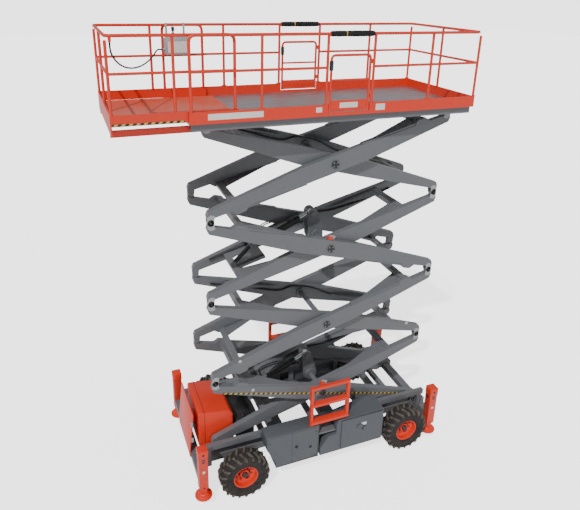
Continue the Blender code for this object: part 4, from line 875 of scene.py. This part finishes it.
# %% Control box
BOX_X, BOX_Y0, BOX_Y1, BOX_Z = -1.98, 0.643, 0.833, FLOOR_TOP + 0.80
softened("control_box", PALE, 0.006)
details, knobs, warning = bmesh.new(), bmesh.new(), bmesh.new()
middle_y = (BOX_Y0 + BOX_Y1) / 2
add_turned(details, at(BOX_X - 0.05, BOX_Y1 - 0.09, BOX_Z + 0.13), (0, 0, 1),
           [(0, 0), (0.034, 0), (0.030, 0.012), (0.033, 0.018), (0.026, 0.026), (0.028, 0.032), (0.02, 0.045),
            (0, 0.045)], 24)
add_turned(knobs, at(BOX_X - 0.05, BOX_Y1 - 0.09, BOX_Z + 0.20), (0, 0, 1),
           [(0, 0), (0.019, 0), (0.024, 0.02), (0.024, 0.05), (0.016, 0.062), (0, 0.064)], 24)
add_turned(warning, at(BOX_X + 0.10, middle_y, BOX_Z + 0.128), (0, 0, 1),
           [(0, 0), (0.014, 0), (0.014, 0.016), (0.026, 0.018), (0.026, 0.028), (0.018, 0.034), (0, 0.036)], 24)
for dx in (-0.13, 0.02, 0.05):
    add_turned(details, at(BOX_X + dx, BOX_Y0 + 0.05, BOX_Z + 0.128), (0, 0, 1),
               [(0, 0), (0.011, 0), (0.011, 0.008), (0.004, 0.01), (0.006, 0.03), (0, 0.032)], 12)
piece("control_box_switches", details, BLACK, "extension", 40)
piece("control_box_stick", knobs, BLACK, "extension", 40)
piece("control_box_stop", warning, RED, "extension", 40)
panel = bmesh.new()
add_block(panel, (BOX_X - 0.15, BOX_Y0 - 0.0015, BOX_Z - 0.10),
          (BOX_X + 0.15, BOX_Y0 + 0.001, BOX_Z + 0.06), 0.0005)
piece("control_box_panel", panel, WHITE, "extension")

# %% [markdown]
# ## Body panels
# Doors and covers on the real machine show as dark gaps and small latches. The gaps are thin black strips
# set just proud of the paint, because a real 4 mm gap would be lost at this distance without its depth.

# %% Seams, latches and labels on the chassis
seams, latches = bmesh.new(), bmesh.new()
CABINET_FACE = 1.075
for side in (-1, 1):
    y0, y1 = span(side, CABINET_FACE - 0.001, CABINET_FACE + 0.0012)
    for x0, x1, z0, z1 in ((-1.135, -1.131, 0.80, 1.01), (-0.222, -0.218, 0.38, 1.01), (-1.13, -0.22, 1.004, 1.008),
                           (-0.97, -0.22, 0.377, 0.381), (-0.70, -0.696, 0.38, 1.006), (0.232, 1.02, 0.994, 0.998)):
        add_block(seams, (x0, y0, z0), (x1, y1, z1))
    out = (0, side, 0)
    for x, z in ((-0.36, 0.62), (-0.62, 0.70)):
        add_turned(latches, at(x, side * (CABINET_FACE + 0.001), z), out,
                   [(0, 0), (0.026, 0), (0.026, 0.008), (0.02, 0.012), (0.008, 0.012), (0.008, 0.006), (0, 0.006)], 24)
    for x in (-1.10, -0.26):
        add_turned(latches, at(x, side * (CABINET_FACE + 0.0005), 0.92), out,
                   [(0, 0), (0.011, 0), (0.008, 0.006), (0, 0.006)], 12)
piece("cabinet_seams", seams, BLACK, "chassis")
piece("cabinet_latches", latches, DARK_STEEL, "chassis", 40)
for side, word in SIDES:
    softened(f"cabinet_door_{word}", CABINET, 0.003)
    handle, tag = bmesh.new(), bmesh.new()
    for shape, x0, x1, z0, z1, inner, outer, edge in (
            (tag, 0.60, 0.70, 0.79, 0.85, 1.094, 1.101, 0.002), (handle, 0.62, 0.645, 0.70, 0.80, 1.10, 1.112, 0.004),
            (handle, 0.60, 0.69, 0.755, 0.785, 1.094, 1.106, 0.004)):
        y0, y1 = span(side, inner, outer)
        add_block(shape, (x0, y0, z0), (x1, y1, z1), edge)
    piece(f"cabinet_door_{word}_handle", handle, BLACK, f"cabinet_door_{word}", 40)
    piece(f"cabinet_door_{word}_tag", tag, WHITE, f"cabinet_door_{word}")

# %% Hood seam and nose latches
hood_seams, nose = bmesh.new(), bmesh.new()
for side in (-1, 1):
    y0, y1 = span(side, 0.4295, 0.4315)
    add_block(hood_seams, (-2.034, y0, 0.66), (-2.028, y1, 1.285))
add_block(hood_seams, (-2.034, -0.43, 1.3025), (-2.028, 0.43, 1.3065))
piece("hood_seams", hood_seams, BLACK, "chassis")
for z in (0.78, 1.10):
    add_block(nose, (-2.275, -0.462, z), (-2.235, -0.449, z + 0.09), 0.003)
piece("nose_latches", nose, PALE, "chassis", 40)

# %% [markdown]
# ## Outriggers
# Each housing has openings below its cap, where the cylinder's pin is reached, and one bolt at its side and four at
# its mouth. The openings are black blocks on its faces, painted shade that stands for the dark inside of the housing.
# A turned collar sits above the round foot, and a white dot marks each housing.

# %% Outrigger trim
for place, x in (("front", -2.22), ("rear", 2.10)):
    for side, word in SIDES:
        painted_slot_shade, marks, pins = bmesh.new(), bmesh.new(), bmesh.new()
        y = side * 1.01
        face = side * (0.075 + 0.0006)
        y0, y1 = sorted((y + face, y + face - side * 0.004))
        # Black blocks for the openings: painted shade for the dark inside of the housing.
        for z in (0.92, 0.965):
            add_block(painted_slot_shade, (x - 0.028, y0, z - 0.012), (x + 0.028, y1, z + 0.016), 0.002)
        for dx in (-0.0755, 0.0755):
            x0, x1 = sorted((x + dx, x + dx * 0.95))
            add_block(painted_slot_shade, (x0, y - 0.022, 0.915), (x1, y + 0.022, 0.975), 0.001)
        piece(f"outrigger_{place}_{word}_slots", painted_slot_shade, BLACK, "chassis")
        add_turned(marks, at(x, y + face, 0.72), (0, side, 0), disc(0.024, 0.0012), 28)
        piece(f"outrigger_{place}_{word}_mark", marks, WHITE, "chassis")
        add_turned(pins, at(x, y + side * 0.0785, 1.07), (0, side, 0),
                   [(0, 0), (0.018, 0), (0.018, 0.006), (0.012, 0.010), (0, 0.010)], 6)
        for dx, dy in ((1, 0), (-1, 0), (0, 1), (0, -1)):
            spot = at(x + dx * 0.0755, y + dy * 0.0755, 0.385)
            add_turned(pins, spot, (dx, dy, 0), disc(0.010, 0.007), 6)
        piece(f"outrigger_{place}_{word}_bolts", pins, DARK_STEEL, "chassis", 40)
        collar = bmesh.new()
        add_turned(collar, at(x, y, 0.22), (0, 0, 1),
                   [(0, 0), (0.088, 0), (0.092, 0.01), (0.088, 0.025), (0.076, 0.034), (0, 0.034)], 40)
        leg = f"outrigger_leg_{place}_{word}"
        piece(f"{leg}_collar", collar, ORANGE, leg, 40)

# %% [markdown]
# ## Hydraulics
# The lift cylinders' barrels are drawn tube with a turned gland at each end. A valve block sits on each barrel, and
# two hoses run from it along the barrel in one long bend. More hoses follow the inner arms and rise over the shaft.

# %% Cylinders and hoses
TOWER_HEIGHT, TOWER_ANGLE = 0.38, math.radians(115.0)  # the rod's eye, from the frame's middle
for number, frame_name in ((1, "inner_frame_1"), (2, "inner_frame_3")):
    middle = stage_middle(FRAMES[frame_name][0])
    foot = on_frame(frame_name, -1.05, 0, 0.21)
    angle = TOWER_ANGLE - LEAN
    eye = middle + Vector((TOWER_HEIGHT * math.cos(angle), 0, TOWER_HEIGHT * math.sin(angle)))
    way = (eye - foot).normalized()
    gland, ports, hoses = bmesh.new(), bmesh.new(), bmesh.new()
    body = f"lift_barrel_{number}"
    add_turned(gland, foot + way * 0.80, way,
               [(0, 0), (0.0585, 0), (0.066, 0.006), (0.066, 0.07), (0.060, 0.078), (0, 0.078)], 40)
    add_turned(gland, foot + way * 0.05, way,
               [(0, 0), (0.0585, 0), (0.0645, 0.006), (0.0645, 0.05), (0.0585, 0.056), (0, 0.056)], 40)
    piece(f"{body}_glands", gland, DARK_STEEL, body, 40)
    up = way.cross(Vector((0, 1, 0))) * -1
    up = up if up.z > 0 else -up
    block_low = foot + way * 0.22 + up * 0.05
    part = bmesh.new()
    bmesh.ops.create_cube(part, size=1, matrix=Matrix.Diagonal((0.16, 0.09, 0.08, 1)))
    bmesh.ops.bevel(part, geom=part.edges[:], offset=0.004, segments=2, affect="EDGES")
    turn = Matrix((way, Vector((0, 1, 0)), up)).transposed().to_4x4()
    merge(ports, part, Matrix.Translation(block_low + up * 0.035) @ turn)
    add_turned(ports, block_low + up * 0.07 + way * 0.03, up,
               [(0, 0), (0.016, 0), (0.016, 0.05), (0.012, 0.055), (0, 0.055)], 16)
    piece(f"{body}_valve", ports, PALE, body, 40)
    for y in (-0.028, 0.028):
        base = block_low + Vector((0, y, 0)) + up * 0.06
        path = [base, base + up * 0.09, base + up * 0.13 + way * 0.10, base + up * 0.05 + way * 0.36,
                foot + way * 0.72 + up * 0.062 + Vector((0, y, 0)), foot + way * 0.80 + up * 0.060 + Vector((0, y, 0))]
        add_tube(hoses, through(path, 36), 0.0095)
    piece(f"{body}_hoses", hoses, HOSE, body, 60)

# %% Hoses along the inner arms
for name in ("inner_frame_1", "inner_frame_2", "inner_frame_3", "inner_frame_4"):
    runs = bmesh.new()
    for y in (0.445, 0.425):
        path = [(-1.75, y, 0.02), (-1.2, y - 0.01, 0.03), (-0.5, y, 0.0), (-0.2, y, 0.115), (0.2, y, 0.115),
                (0.6, y, 0.02), (1.2, y - 0.01, -0.02), (1.75, y, -0.01)]
        add_tube(runs, through([on_frame(name, *p) for p in path], 48), 0.009)
    piece(f"{name}_hoses", runs, HOSE, name, 60)

# %% [markdown]
# ## Orange safety props
# Two orange props hang at the middle pivots, where a fitter swings them out before working under the arms. Each is
# a small cast lug on a grey plate, bolted beside the shaft.

# %% Safety props
for name in ("outer_frame_1", "outer_frame_3"):
    lug, plate_shape = bmesh.new(), bmesh.new()
    frame_block(plate_shape, name, (-0.055, -0.62, 0.13), (0.055, -0.60, 0.20), 0.004)
    frame_block(lug, name, (-0.085, -0.665, 0.134), (-0.01, -0.605, 0.185), 0.010)
    piece(f"{name}_prop_plate", plate_shape, PALE, name, 40)
    piece(f"{name}_prop", lug, ORANGE, name, 40)

# %% Round white marks on the arms
marks = {"inner_frame_2": (1.72, -0.5575), "outer_frame_2": (-1.55, -0.6745), "outer_frame_1": (-1.35, -0.6745)}
for name, (along, y) in marks.items():
    disc_shape, dot = bmesh.new(), bmesh.new()
    spot = on_frame(name, along, y, 0.045)
    add_turned(disc_shape, spot, (0, -1, 0), disc(0.024, 0.0012), 28)
    add_turned(dot, spot, (0, -1, 0), disc(0.009, 0.002), 20)
    piece(f"{name}_mark", disc_shape, WHITE, name)
    piece(f"{name}_mark_dot", dot, BLACK, name)

# %% [markdown]
# ## Studio
# The machine stands on white ground under one hard sun from the upper left, with a weak second light from the right
# and an even sky. Ground and sky look whiter to the camera than they shine, so that the paint keeps its colour.

# %% Studio floor and light
floor_shape = bmesh.new()
bmesh.ops.create_grid(floor_shape, x_segments=1, y_segments=1, size=90)
floor = new_object("studio_floor", floor_shape)
floor.location.z = -0.001
backdrop = bpy.data.materials.new("studio_paper")
backdrop.use_nodes = True
paper = backdrop.node_tree.nodes["Principled BSDF"].inputs
paper["Base Color"].default_value = linear("#f7f7f7")
paper["Roughness"].default_value = 0.9
paper["Emission Color"].default_value = linear("#ffffff")


def brighter_to_camera(tree, socket, low, extra):
    seen = add_node(tree, "ShaderNodeLightPath").outputs["Is Camera Ray"]
    made = add_node(tree, "ShaderNodeMath", {"operation": "MULTIPLY_ADD"}, {0: seen}, i1=extra, i2=low)
    tree.links.new(made.outputs[0], socket)


brighter_to_camera(backdrop.node_tree, paper["Emission Strength"], 0.0, 2.0)
floor.data.materials.append(backdrop)

world = bpy.data.worlds.new("studio_sky")
bpy.context.scene.world = world
world.use_nodes = True
sky = world.node_tree.nodes["Background"].inputs
sky["Color"].default_value = (1, 1, 1, 1)
brighter_to_camera(world.node_tree, sky["Strength"], 0.45, 2.4)


def sun(name, direction, size, power):
    light = bpy.data.lights.new(name, "SUN")
    light.angle, light.energy = math.radians(size), power
    made = bpy.data.objects.new(name, light)
    bpy.context.scene.collection.objects.link(made)
    made.rotation_euler = Vector(direction).to_track_quat("-Z", "Y").to_euler()


sun("key_sun", (0.55, 0.62, -1.0), 1.5, 2.6)
sun("fill_sun", (-0.8, 0.5, -0.35), 25, 0.25)
